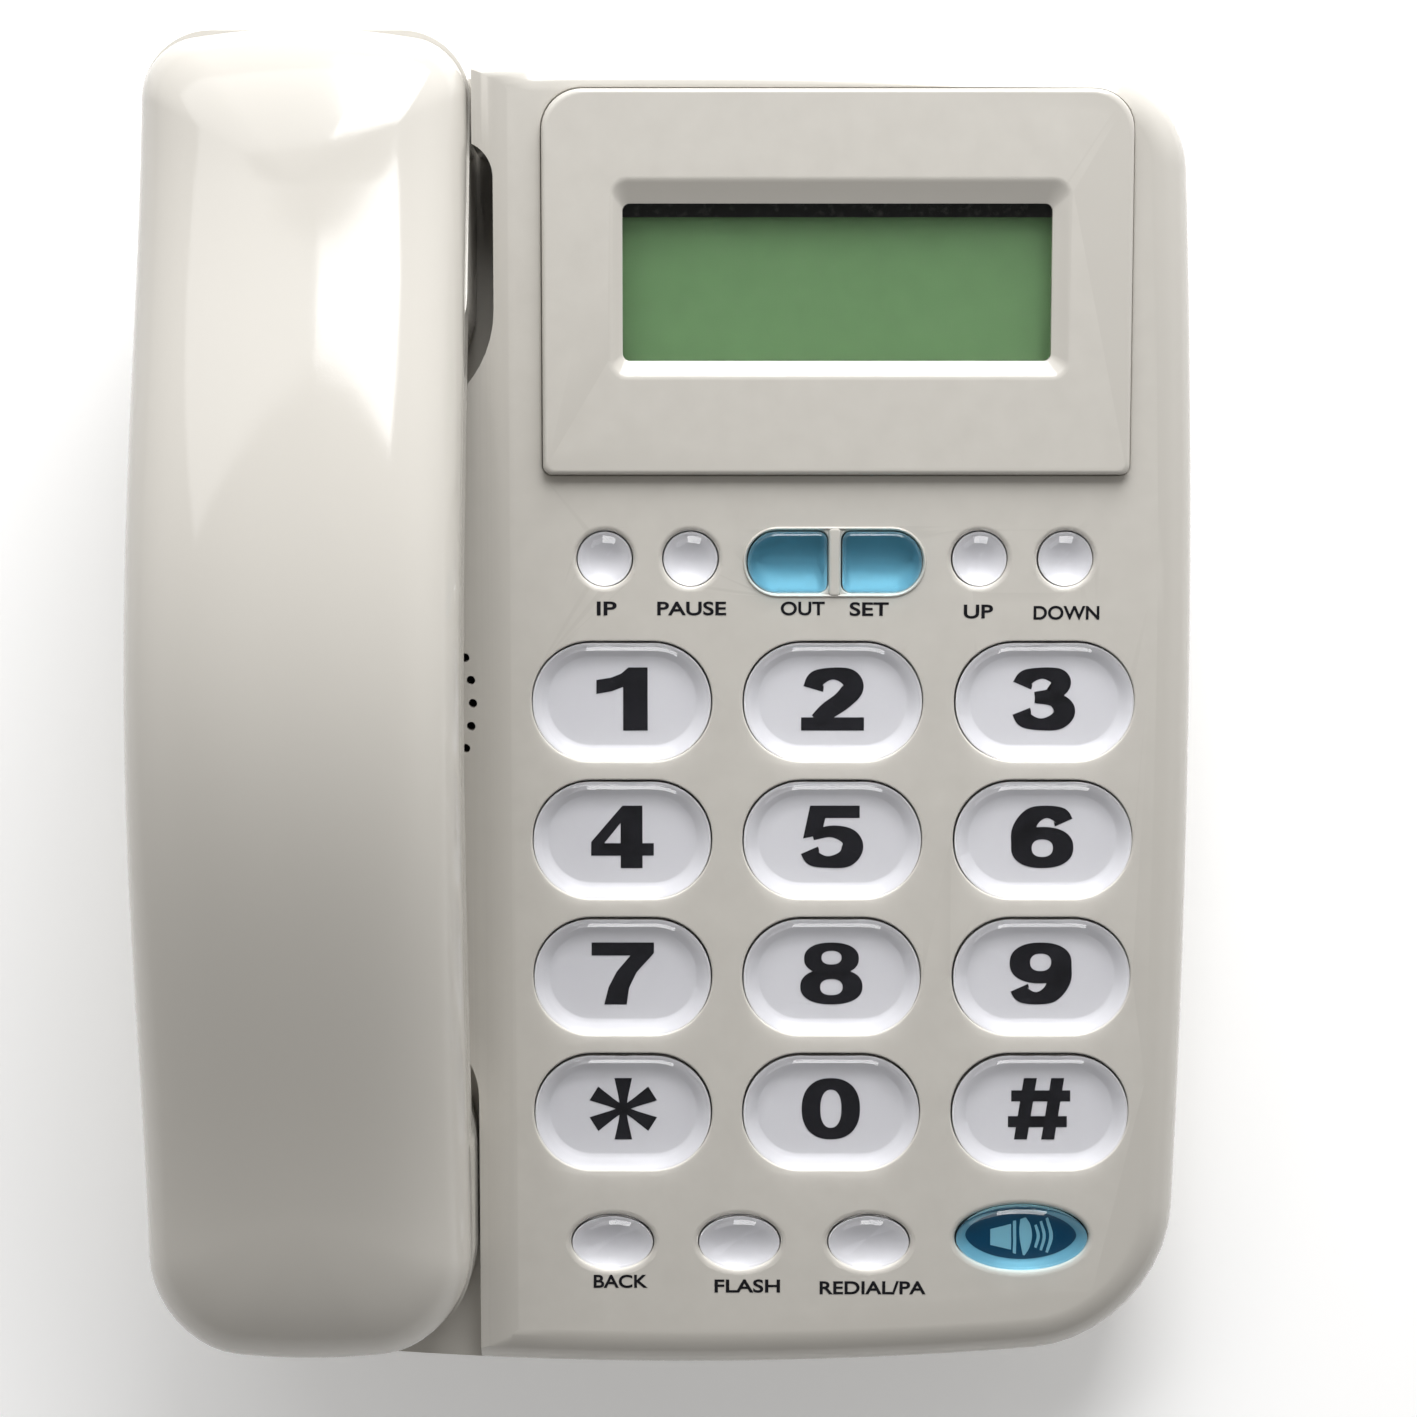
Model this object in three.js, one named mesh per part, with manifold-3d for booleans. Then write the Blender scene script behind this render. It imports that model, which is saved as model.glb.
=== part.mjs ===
// Corded desk telephone with a big-key console and a handset in a side cradle.
// Millimetres, +Z up, the front edge towards -Y, the handset along the -X side.

import * as THREE from 'three';
import { mergeVertices } from 'three/addons/utils/BufferGeometryUtils.js';
import Module from 'manifold-3d';

const wasm = await Module();
wasm.setup();

// ---------------------------------------------------------------- driving dimensions

const GAP = 0.3; // between neighbouring pieces that don't move
const WALL = 2.4; // housing walls
const THROUGH = 60; // a cutter that passes all the way through

// base outline
const BASE_LEFT = -80;
const BASE_RIGHT = 84.5;
const BASE_BACK = 104.3;
const BASE_FRONT = -108.8;
const SIDE_BULGE = 2.5;
const BACK_BULGE = 2.3;
const FRONT_BULGE = 4.5;
const BACK_CORNER = 15;
const FRONT_CORNER = 22;

// base heights
const FOOT_HEIGHT = 2;
const FLOOR_TOP = 4.5;
const SPLIT_HEIGHT = 15; // where the lower housing meets the upper one
const DECK_HEIGHT = 37.2; // deck at y = 0
const DECK_SLOPE = THREE.MathUtils.degToRad(7);
const SHOULDER = 6; // rounding from the deck into the side walls
const TRAY_TAPER = 3; // the tray is this much narrower at its bottom
const TRAY_EDGE = 2; // rounding under the tray

// cradle trough that runs along the left of the deck
const CRADLE_DROP = 3.5;
const CRADLE_EDGE = -25;
const CRADLE_FLOOR_EDGE = -40;

// handset, in its own frame: x across, y along it, z up from the cups' rims
const HANDSET_X = -58.3;
const HANDSET_Y = 2.68;
const HANDSET_REST = 24.5; // height of the cups' rims under the handset's middle
const HANDSET_TILT = THREE.MathUtils.degToRad(2.67);
const HANDSET_HALF_WIDTH = 25.9;
const HANDSET_HALF_LENGTH = 106.8;
const HANDSET_END_BULGE = 3;
const EAR_CORNER = 8;
const MOUTH_CORNER = 14;
const HANDSET_WALL = 2.2;
const CROWN = 14; // top shell above the parting line
const CROWN_POWER = 2.5; // superellipse of its cross-section
const PARTING_END = 15; // parting line at the two ends
const PARTING_ARCH = 22.5; // and how much higher it is in the middle
const PARTING_SPAN = HANDSET_HALF_LENGTH + 3.2;
const GRIP_DEPTH = 8; // bottom shell under the parting line along the grip
const CUP_HALF_WIDTH = HANDSET_HALF_WIDTH + 0.3;
const CUP_EDGE = 3; // chamfer round a cup's rim
const CUP_CORNER = 16; // cup corners on the grip's side
const EAR_CUP_LENGTH = 58.8; // from the handset's end
const EAR_END_SLOPE = 18.8; // where the end rises from the rim to the parting line
const MOUTH_CUP_LENGTH = 48.8;
const MOUTH_END_SLOPE = 14.8;
const EAR_CUP_START = HANDSET_HALF_LENGTH - EAR_CUP_LENGTH;
const EAR_CUP_SLOPE = HANDSET_HALF_LENGTH - EAR_END_SLOPE;
const MOUTH_CUP_START = HANDSET_HALF_LENGTH - MOUTH_CUP_LENGTH;
const MOUTH_CUP_SLOPE = HANDSET_HALF_LENGTH - MOUTH_END_SLOPE;

// cradle wells
const EAR_WELL_CLEARANCE = 3.8;
const END_CLEARANCE = 1;
const WELL_FLOOR_CLEARANCE = 0.8;
const EAR_WELL_CORNERS = [18, 6, 6, 18];
const MOUTH_WELL_CORNERS = [2, 12, 12, 2];
const END_WELL_CORNER = 2;

// display
const PANEL = { left: -20.5, right: 73.4, front: 38.2, back: 99.2, corner: 6.5, frontCorner: 1.5 };
const PANEL_PROUD = 1.9;
const PANEL_SUNK = 1.4;
const BEVEL = { left: -9.3, right: 63.2, front: 53.9, back: 84.8, corner: 2.5, depth: 1.7 };
const WINDOW = { left: -7.7, right: 60.7, front: 56.3, back: 81.2, corner: 1.2 };
const PANE_MARGIN = 1.8;
const PANE_THICKNESS = 1;
const LCD_DEPTH = 4.5;
const LCD_THICKNESS = 3;

// keys
const KEY_TRAVEL = 1.6;
const KEY_CLEARANCE = 0.35;
const KEY_EDGE = 1;
const FLANGE = 0.8;
const FLANGE_THICKNESS = 1.2;
const STEM_LENGTH = 1.1;
const DIAL_KEY = { width: 28.5, height: 18.9, proud: 2.4 };
const DIAL_COLUMNS = [-8, 26.1, 60.3];
const DIAL_TOP_ROW = 1.5;
const DIAL_ROW_PITCH = 22.6;
const DIAL_NAMES = ['1', '2', '3', '4', '5', '6', '7', '8', '9', 'star', '0', 'hash'];
const ROUND_KEY = { diameter: 8.4, proud: 2.2, row: 24.6 };
const ROUND_KEYS = { ip: -10.7, pause: 3.1, up: 49.6, down: 63.4 };
const BLUE_KEY = { width: 12.5, height: 9.5, proud: 1.8, row: 24.1 };
const BLUE_KEYS = { out: 18.7, set: 33.9 };
const OVAL_KEY = { width: 12.9, height: 8.6, proud: 2, row: -88.3 };
const OVAL_KEYS = { back: -9.8, flash: 11.1, redial: 32.4 };
const SPEAKER_KEY = { width: 21.3, height: 10.6, proud: 2.2, x: 57.6, row: -87.6 };
const SMALL_FLANGE = 0.6;
const END_FLAT = 0.4; // straight stretch left at a round-ended key's tip
const SQUARE_END_CORNER = 1.3;

// key mat and boards, as depths under the deck
const MAT_AREA = { left: -24, right: 76, front: -94, back: 30 };
const MAT_THICKNESS = 0.8;
const DOME_HEIGHT = 0.9;
const DOME_RADIUS = 2.6;
const BOARD_THICKNESS = 1.6;
const MAT_CORNER = 3;
const MAIN_BOARD = { left: -22, right: 74, front: 22, back: 82, height: 9, corner: 2, post: 3, postInset: 6 };

// loudspeaker and its grille in the cradle trough
const SPEAKER = { x: -55, y: 1, rim: 21, cone: 15, rimDepth: 3, depth: 15 };
const GRILLE_RINGS = [23, 12];
const GRILLE_PITCH = 3.8;
const GRILLE_HOLE = 0.72;

// batteries
const CELL = { radius: 7.1, length: 50, room: 0.8, count: 3 };
const CELL_BOX = { left: 0, front: -37, wall: 1.8, endRoom: 1, sideRoom: 0.5, corner: 1 };
const DOOR_CORNER = 1.5;
const DOOR_TRAVEL = 6;
const DOOR_THICKNESS = 1.8;
const DOOR_LIP = 2.2;

// sockets
const LINE_SOCKET = { width: 9.9, height: 6.7, depth: 9, x: 50, low: 5.4 };
const CORD_SOCKET = { width: 7.8, height: 6.2, depth: 9, y: -52, low: 5.6 };
const HANDSET_SOCKET_LOW = 5.5;
const HANDSET_SOCKET_SETBACK = 1.2; // behind the foot of the mouth end's slope
const SOCKET_WALL = 1.4;

// fasteners and feet
const SCREW = { head: 2.8, headHeight: 2, shank: 1.3, hole: 1.65, counterbore: 3.2, boss: 4.9, post: 3.5 };
const SCREW_PLACES = [[-66, -32], [-66, 30], [45, -97], [69, 89]];
const SCREW_HEAD_HEIGHT = 8;
const SCREW_LENGTH = 12;
const FOOT = { radius: 6, sunk: 1 };
const FOOT_PLACES = [[-58, -80], [62, -82], [-58, 76], [62, 76]];

const BALLAST = { left: -50, right: -14, front: -50, back: 16, thickness: 3, corner: 2 };

// hook switch, as a place in the handset's frame
const HOOK = {
  x: 12,
  y: EAR_CUP_START + 16,
  width: 11,
  height: 6,
  corner: 2,
  travel: 4,
  length: 12,
  flange: 1.2,
};

// ringer volume switch and hands-free microphone
const RINGER = { x: 18, low: 7, height: 3, width: 4, travel: 4, proud: 1.2, body: 5, lean: 0.6 };
const MIC = { x: 20, z: 9.5, radius: 3, length: 4, hole: 0.9 };

// inside the handset
const HANDSET_SCREWS = [-30, 30];
const HANDSET_SCREW_BITE = 5; // how far a shell screw goes past the parting line
const HANDSET_POST = 3.2;
const EARPIECE = { y: EAR_CUP_START + 21.5, radius: 15.5, height: 6 };
const MOUTHPIECE = { y: -MOUTH_CUP_START - 15, radius: 5, height: 6 };
const SOUND_HOLES = { radius: 1, ring: 6, count: 6 };
const WEIGHT = {
  left: 7,
  right: 20,
  front: MOUTHPIECE.y - 7,
  back: MOUTHPIECE.y + 9,
  height: 7,
  corner: 1,
};

// ---------------------------------------------------------------- materials

const finish = {
  ivory: { color: 0xd6d3c9, roughness: 0.22, metalness: 0 },
  clear: { color: 0xdcdce4, roughness: 0.08, metalness: 0 },
  blue: { color: 0x5fa9c6, roughness: 0.08, metalness: 0 },
  lcd: { color: 0x6b9468, roughness: 0.3, metalness: 0 },
  glass: { color: 0xe8eeee, roughness: 0.05, metalness: 0 },
  rubber: { color: 0x3a3a3a, roughness: 0.8, metalness: 0 },
  mat: { color: 0xb9bcc0, roughness: 0.8, metalness: 0 },
  board: { color: 0x2f6b45, roughness: 0.5, metalness: 0 },
  black: { color: 0x202022, roughness: 0.5, metalness: 0 },
  steel: { color: 0x9a9c9f, roughness: 0.35, metalness: 1 },
  cell: { color: 0x4a4f57, roughness: 0.4, metalness: 0.6 },
};

// ---------------------------------------------------------------- outlines

// Counter-clockwise rounded rectangle; radii run front-right, back-right, back-left, front-left.
function roundedRect({ left, right, front, back }, radii, cornerSteps = 5, sideSteps = 1) {
  const [fr, br, bl, fl] = radii;
  const corners = [
    [right - fr, front + fr, fr, -Math.PI / 2],
    [right - br, back - br, br, 0],
    [left + bl, back - bl, bl, Math.PI / 2],
    [left + fl, front + fl, fl, Math.PI],
  ];
  const arcs = corners.map(([cx, cy, r, start]) => Array.from({ length: cornerSteps + 1 }, (_, i) => {
    const angle = start + (i / cornerSteps) * Math.PI / 2;
    return new THREE.Vector2(cx + r * Math.cos(angle), cy + r * Math.sin(angle));
  }));
  const points = [];
  arcs.forEach((arc, k) => {
    const next = arcs[(k + 1) % arcs.length][0];
    const last = arc.at(-1);
    points.push(...arc);
    for (let i = 1; i < sideSteps; i += 1) points.push(last.clone().lerp(next, i / sideSteps));
  });
  return points;
}

function ellipse(width, height, steps = 16) {
  return Array.from({ length: steps }, (_, i) => {
    const angle = (i / steps) * 2 * Math.PI;
    return new THREE.Vector2(width / 2 * Math.cos(angle), height / 2 * Math.sin(angle));
  });
}

const centredRect = (width, height, radii, steps) => roundedRect(
  { left: -width / 2, right: width / 2, front: -height / 2, back: height / 2 },
  radii,
  steps,
);

const square = (radius) => [radius, radius, radius, radius];

// Moves each corner of an outline outwards along its mitre; a negative distance insets.
function offset(points, distance) {
  return points.map((p, i) => {
    const before = points[(i + points.length - 1) % points.length];
    const after = points[(i + 1) % points.length];
    const n1 = new THREE.Vector2(p.y - before.y, before.x - p.x).normalize();
    const n2 = new THREE.Vector2(after.y - p.y, p.x - after.x).normalize();
    const mitre = n1.add(n2);
    return p.clone().addScaledVector(mitre, 2 * distance / mitre.lengthSq());
  });
}

const moved = (points, x, y) => points.map((p) => new THREE.Vector2(p.x + x, p.y + y));

// ---------------------------------------------------------------- solids

// Extrudes an outline in the XY plane from z0 to z1.
function prism(points, z0, z1) {
  const settings = { depth: z1 - z0, bevelEnabled: false };
  return new THREE.ExtrudeGeometry(new THREE.Shape(points), settings).translate(0, 0, z0);
}

// Slab with rounded corners.
function slab(rect, corner, z0, z1, steps = 2) {
  return prism(roundedRect(rect, square(corner), steps), z0, z1);
}

function box(x0, x1, y0, y1, z0, z1) {
  return new THREE.BoxGeometry(x1 - x0, y1 - y0, z1 - z0)
    .translate((x0 + x1) / 2, (y0 + y1) / 2, (z0 + z1) / 2);
}

// Upright cylinder standing on z0.
function rod(x, y, radius, z0, z1, sides = 16) {
  return new THREE.CylinderGeometry(radius, radius, z1 - z0, sides)
    .rotateX(Math.PI / 2)
    .translate(x, y, (z0 + z1) / 2);
}

// A profile drawn in the YZ plane, extruded along X from x0 to x1.
function sideProfile(points, x0, x1) {
  const turn = new THREE.Matrix4().makeBasis(
    new THREE.Vector3(0, 1, 0),
    new THREE.Vector3(0, 0, 1),
    new THREE.Vector3(1, 0, 0),
  );
  return prism(points, x0, x1).applyMatrix4(turn);
}

// A profile drawn in the XZ plane, extruded along Y from y0 to y1.
function frontProfile(points, y0, y1) {
  return prism(points, -y1, -y0).rotateX(Math.PI / 2);
}

// Skins a stack of rings of equal count, listed from the lowest to the highest.
function loft(rings) {
  const count = rings[0].length;
  const index = [];
  for (let r = 0; r + 1 < rings.length; r += 1) {
    for (let i = 0; i < count; i += 1) {
      const a = r * count + i;
      const b = r * count + (i + 1) % count;
      index.push(a, b, b + count, a, b + count, a + count);
    }
  }
  const cap = (ring, start, up) => {
    const flat = ring.map((p) => new THREE.Vector2(p.x, p.y));
    for (const [a, b, c] of THREE.ShapeUtils.triangulateShape(flat, [])) {
      index.push(start + a, start + (up ? b : c), start + (up ? c : b));
    }
  };
  cap(rings[0], 0, false);
  cap(rings.at(-1), (rings.length - 1) * count, true);
  const geometry = new THREE.BufferGeometry().setFromPoints(rings.flat());
  geometry.setIndex(index);
  return geometry;
}

const ringAt = (points, height) => points.map((p) => new THREE.Vector3(p.x, p.y, height(p.x, p.y)));

function manifold(geometry) {
  const bare = geometry.clone();
  bare.deleteAttribute('normal');
  bare.deleteAttribute('uv');
  const merged = mergeVertices(bare, 1e-4);
  const index = merged.index.array;
  const triVerts = [];
  for (let i = 0; i < index.length; i += 3) {
    const [a, b, c] = index.slice(i, i + 3);
    if (a !== b && b !== c && c !== a) triVerts.push(a, b, c);
  }
  return new wasm.Manifold(new wasm.Mesh({
    numProp: 3,
    vertProperties: Float32Array.from(merged.attributes.position.array),
    triVerts: Uint32Array.from(triVerts),
  }));
}

function geometryOf(solid) {
  const { vertProperties, triVerts } = solid.getMesh();
  const geometry = new THREE.BufferGeometry();
  geometry.setAttribute('position', new THREE.BufferAttribute(Float32Array.from(vertProperties), 3));
  geometry.setIndex(new THREE.BufferAttribute(Uint32Array.from(triVerts), 1));
  return geometry;
}

const joined = (...geometries) => geometries.map(manifold).reduce((a, b) => a.add(b));

// ---------------------------------------------------------------- scene graph

const group = new THREE.Group();
const deck = new THREE.Group();
deck.rotation.x = DECK_SLOPE;
deck.position.z = DECK_HEIGHT;
const handset = new THREE.Group();
handset.rotation.x = HANDSET_TILT;
handset.position.set(HANDSET_X, HANDSET_Y, HANDSET_REST);
group.add(deck, handset);
group.updateMatrixWorld(true);

// Adds a geometry or a manifold solid to a group as one named sub-part.
function add(parent, name, shape, look) {
  const geometry = shape instanceof THREE.BufferGeometry ? shape : geometryOf(shape);
  geometry.computeVertexNormals();
  const mesh = new THREE.Mesh(geometry, new THREE.MeshStandardMaterial(finish[look]));
  mesh.name = name;
  parent.add(mesh);
}

// A cutter made in a group's frame, as a solid in the phone's own frame.
const fromDeck = (geometry) => manifold(geometry.applyMatrix4(deck.matrixWorld));
const fromHandset = (geometry) => manifold(geometry.applyMatrix4(handset.matrixWorld));

// ---------------------------------------------------------------- base outline

const BASE_MIDDLE = (BASE_LEFT + BASE_RIGHT) / 2;
const BASE_HALF = (BASE_RIGHT - BASE_LEFT) / 2;
const baseRect = {
  left: BASE_LEFT + SIDE_BULGE,
  right: BASE_RIGHT - SIDE_BULGE,
  front: BASE_FRONT + FRONT_BULGE,
  back: BASE_BACK - BACK_BULGE,
};

// Barrel-shaped plan: the four sides swell towards their middles.
function bulged(p) {
  const across = (p.x - BASE_MIDDLE) / (BASE_HALF - SIDE_BULGE);
  const along = p.y / (p.y > 0 ? baseRect.back : -baseRect.front);
  const end = p.y > 0 ? BACK_BULGE : FRONT_BULGE;
  return new THREE.Vector2(
    p.x + SIDE_BULGE * across * (1 - along * along),
    p.y + end * along * (1 - across * across),
  );
}

const baseCorners = [FRONT_CORNER, BACK_CORNER, BACK_CORNER, FRONT_CORNER];
const baseOutline = roundedRect(baseRect, baseCorners, 5, 5).map(bulged);
const backEdge = (x) => bulged(new THREE.Vector2(x, baseRect.back)).y;
const leftEdge = (y) => bulged(new THREE.Vector2(baseRect.left, y)).x;
const frontEdge = (x) => bulged(new THREE.Vector2(x, baseRect.front)).y;

const deckZ = (x, y) => DECK_HEIGHT + y * Math.tan(DECK_SLOPE);

// The wedge-shaped body above a given height, inset all round by one distance.
function wedge(inset, bottom) {
  const radius = SHOULDER - inset;
  const rings = [ringAt(offset(baseOutline, -inset), () => bottom)];
  const steps = 3;
  for (let i = 0; i <= steps; i += 1) {
    const angle = (i / steps) * Math.PI / 2;
    const edge = offset(baseOutline, -inset - radius * (1 - Math.cos(angle)));
    rings.push(ringAt(edge, (x, y) => deckZ(x, y) - inset - radius * (1 - Math.sin(angle))));
  }
  return manifold(loft(rings));
}

// ---------------------------------------------------------------- handset curves

const partingZ = (y) => PARTING_END + PARTING_ARCH * Math.cos(Math.PI * y / (2 * PARTING_SPAN)) ** 2;

function handsetOutline(inset) {
  const half = HANDSET_HALF_WIDTH - inset;
  const end = HANDSET_HALF_LENGTH - HANDSET_END_BULGE - inset;
  const rect = { left: -half, right: half, front: -end, back: end };
  const radii = [MOUTH_CORNER - inset, EAR_CORNER - inset, EAR_CORNER - inset, MOUTH_CORNER - inset];
  return roundedRect(rect, radii, 4, 10).map((p) => new THREE.Vector2(
    p.x,
    p.y + HANDSET_END_BULGE * (p.y / end) * (1 - (p.x / half) ** 2),
  ));
}

// Domed bar over the handset's plan, standing on z = 0, drawn in by a wall thickness.
function dome(inset) {
  const outline = handsetOutline(inset);
  const crown = CROWN - inset;
  const spine = HANDSET_HALF_LENGTH - HANDSET_HALF_WIDTH;
  const rings = [ringAt(outline, () => 0)];
  const steps = 6;
  for (let i = 0; i <= steps; i += 1) {
    const angle = (i / steps) * Math.PI / 2;
    const out = i === steps ? 0 : Math.cos(angle) ** (2 / CROWN_POWER);
    const up = Math.sin(angle) ** (2 / CROWN_POWER);
    rings.push(outline.map((p) => {
      const along = THREE.MathUtils.clamp(p.y, -spine, spine);
      const y = along + (p.y - along) * out;
      return new THREE.Vector3(p.x * out, y, partingZ(y) + crown * up);
    }));
  }
  return manifold(loft(rings));
}

// The parting line from one end to the other, as points of a side profile.
function partingLine(shift, reach, steps = 18) {
  return Array.from({ length: steps + 1 }, (_, i) => {
    const y = -reach + (2 * reach * i) / steps;
    return new THREE.Vector2(y, partingZ(y) + shift);
  });
}

// Side profile of one end of the bottom shell, running up to a level above the parting line.
function cupProfile(start, slope, sign, inset) {
  const end = HANDSET_HALF_LENGTH - inset;
  const top = PARTING_END + PARTING_ARCH;
  const edge = CUP_EDGE;
  const points = [
    [start + inset, top],
    [start + inset, edge + inset],
    [start + inset + edge, inset],
    [slope - inset, inset],
    [end, PARTING_END - CUP_EDGE],
    [end, top],
  ].map(([y, z]) => new THREE.Vector2(sign * y, z));
  return sign > 0 ? points : points.reverse();
}

function cup(start, slope, sign, endCorner, inset) {
  const side = manifold(sideProfile(cupProfile(start, slope, sign, inset), -THROUGH, THROUGH));
  const near = Math.min(sign * (start + inset), sign * (HANDSET_HALF_LENGTH - inset));
  const far = Math.max(sign * (start + inset), sign * (HANDSET_HALF_LENGTH - inset));
  const half = CUP_HALF_WIDTH - inset;
  const grip = CUP_CORNER - inset;
  const tip = endCorner + HANDSET_END_BULGE - inset;
  const radii = sign > 0 ? [grip, tip, tip, grip] : [tip, grip, grip, tip];
  const plan = roundedRect({ left: -half, right: half, front: near, back: far }, radii, 6);
  return side.intersect(manifold(prism(plan, -THROUGH, THROUGH)));
}

function grip(inset) {
  const reach = HANDSET_HALF_LENGTH - EAR_CORNER;
  const lower = partingLine(inset - GRIP_DEPTH, reach);
  const upper = partingLine(GRIP_DEPTH, reach).reverse();
  const plan = prism(handsetOutline(inset), 0, 2 * THROUGH);
  return manifold(sideProfile([...lower, ...upper], -THROUGH, THROUGH)).intersect(manifold(plan));
}

const handsetBody = (inset) => grip(inset)
  .add(cup(EAR_CUP_START, EAR_CUP_SLOPE, 1, EAR_CORNER, inset))
  .add(cup(MOUTH_CUP_START, MOUTH_CUP_SLOPE, -1, MOUTH_CORNER, inset));

// Everything above or below the parting line, less half of the gap between the shells.
function halfSpace(above) {
  const reach = HANDSET_HALF_LENGTH + WALL;
  const line = partingLine((above ? 1 : -1) * GAP / 2, reach);
  const level = above ? 2 * THROUGH : -THROUGH;
  const closing = [new THREE.Vector2(reach, level), new THREE.Vector2(-reach, level)];
  const profile = [...line, ...closing];
  return manifold(sideProfile(above ? profile : profile.reverse(), -THROUGH, THROUGH));
}

// ---------------------------------------------------------------- cuts in the deck for the handset

// Trough with a soft S-shaped side, lowered by a wall thickness for the inner skin.
function trough(inset) {
  const steps = 8;
  const curve = Array.from({ length: steps + 1 }, (_, i) => {
    const t = i / steps;
    const x = CRADLE_FLOOR_EDGE + t * (CRADLE_EDGE - CRADLE_FLOOR_EDGE);
    return new THREE.Vector2(x + inset / 2, -CRADLE_DROP * (1 - t * t * (3 - 2 * t)) - inset);
  });
  const profile = [
    new THREE.Vector2(BASE_LEFT - THROUGH, -CRADLE_DROP - inset),
    ...curve,
    new THREE.Vector2(CRADLE_EDGE + inset / 2, THROUGH),
    new THREE.Vector2(BASE_LEFT - THROUGH, THROUGH),
  ];
  return fromDeck(frontProfile(profile, 2 * BASE_FRONT, 2 * BASE_BACK));
}

// One well, in the handset's frame, with its floor under the cups' rims.
function well(front, back, side, corners, inset) {
  const half = CUP_HALF_WIDTH + side + inset;
  const plan = roundedRect({
    left: -half,
    right: half,
    front: front - inset,
    back: back + inset,
  }, corners.map((r) => r + inset), 6);
  return fromHandset(prism(plan, -WELL_FLOOR_CLEARANCE - inset, THROUGH));
}

function wells(inset) {
  const beyond = HANDSET_HALF_LENGTH + THROUGH / 2;
  const earFront = EAR_CUP_START - EAR_WELL_CLEARANCE;
  const mouthBack = -MOUTH_CUP_START + EAR_WELL_CLEARANCE;
  return well(earFront, EAR_CUP_SLOPE + END_CLEARANCE, EAR_WELL_CLEARANCE, EAR_WELL_CORNERS, inset)
    .add(well(EAR_CUP_SLOPE - CUP_CORNER, beyond, END_CLEARANCE, square(END_WELL_CORNER), inset))
    .add(well(-beyond, mouthBack, END_CLEARANCE, MOUTH_WELL_CORNERS, inset));
}

// ---------------------------------------------------------------- keys

// Every key as name, outline in the deck's plane, height above the deck, flange and look.
const keys = [];
DIAL_NAMES.forEach((name, i) => keys.push({
  name: `dial_key_${name}`,
  outline: centredRect(DIAL_KEY.width, DIAL_KEY.height, square((DIAL_KEY.height - END_FLAT) / 2), 4),
  x: DIAL_COLUMNS[i % DIAL_COLUMNS.length],
  y: DIAL_TOP_ROW - DIAL_ROW_PITCH * Math.floor(i / DIAL_COLUMNS.length),
  proud: DIAL_KEY.proud,
  flange: FLANGE,
  look: 'clear',
}));
Object.entries(ROUND_KEYS).forEach(([name, x]) => keys.push({
  name: `${name}_key`,
  outline: ellipse(ROUND_KEY.diameter, ROUND_KEY.diameter),
  x,
  y: ROUND_KEY.row,
  proud: ROUND_KEY.proud,
  flange: SMALL_FLANGE,
  look: 'clear',
}));
Object.entries(BLUE_KEYS).forEach(([name, x]) => {
  const round = (BLUE_KEY.height - END_FLAT) / 2;
  const corner = SQUARE_END_CORNER;
  const radii = name === 'out' ? [corner, corner, round, round] : [round, round, corner, corner];
  keys.push({
    name: `${name}_key`,
    outline: centredRect(BLUE_KEY.width, BLUE_KEY.height, radii, 3),
    x,
    y: BLUE_KEY.row,
    proud: BLUE_KEY.proud,
    flange: SMALL_FLANGE,
    look: 'blue',
  });
});
Object.entries(OVAL_KEYS).forEach(([name, x]) => keys.push({
  name: `${name}_key`,
  outline: ellipse(OVAL_KEY.width, OVAL_KEY.height),
  x,
  y: OVAL_KEY.row,
  proud: OVAL_KEY.proud,
  flange: SMALL_FLANGE,
  look: 'clear',
}));
keys.push({
  name: 'speaker_key',
  outline: ellipse(SPEAKER_KEY.width, SPEAKER_KEY.height),
  x: SPEAKER_KEY.x,
  y: SPEAKER_KEY.row,
  proud: SPEAKER_KEY.proud,
  flange: SMALL_FLANGE,
  look: 'blue',
});

const FLANGE_TOP = -WALL - GAP;
const STEM_TOP = FLANGE_TOP - FLANGE_THICKNESS;
const STEM_BOTTOM = STEM_TOP - STEM_LENGTH;
const DOME_TOP = STEM_BOTTOM - KEY_TRAVEL - GAP;
const MAT_TOP = DOME_TOP - DOME_HEIGHT;
const MAT_BOTTOM = MAT_TOP - MAT_THICKNESS;
const BOARD_TOP = MAT_BOTTOM - GAP;

for (const key of keys) {
  const level = (z) => () => z;
  const cap = loft([
    ringAt(key.outline, level(FLANGE_TOP - FLANGE_THICKNESS / 2)),
    ringAt(key.outline, level(key.proud - KEY_EDGE)),
    ringAt(offset(key.outline, -KEY_EDGE), level(key.proud)),
  ]);
  const flange = prism(offset(key.outline, key.flange), STEM_TOP, FLANGE_TOP);
  const stem = rod(0, 0, DOME_RADIUS - GAP, STEM_BOTTOM, STEM_TOP + FLANGE_THICKNESS / 2, 6);
  const place = (geometry) => geometry.translate(key.x, key.y, 0);
  add(deck, key.name, joined(...[cap, flange, stem].map(place)), key.look);
}

// ---------------------------------------------------------------- upper housing

const deckHoles = keys.map((key) => {
  const hole = moved(offset(key.outline, KEY_CLEARANCE), key.x, key.y);
  return fromDeck(prism(hole, -THROUGH / 4, THROUGH / 4));
});

function grilleHoles() {
  const holes = [];
  for (const radius of GRILLE_RINGS) {
    const count = Math.round(2 * Math.PI * radius / GRILLE_PITCH);
    for (let i = 0; i < count; i += 1) {
      const angle = (i / count) * 2 * Math.PI;
      const x = SPEAKER.x + radius * Math.cos(angle);
      const y = SPEAKER.y + radius * Math.sin(angle);
      holes.push(fromDeck(rod(x, y, GRILLE_HOLE, -2 * WALL - CRADLE_DROP, WALL, 6)));
    }
  }
  return holes;
}

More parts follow.
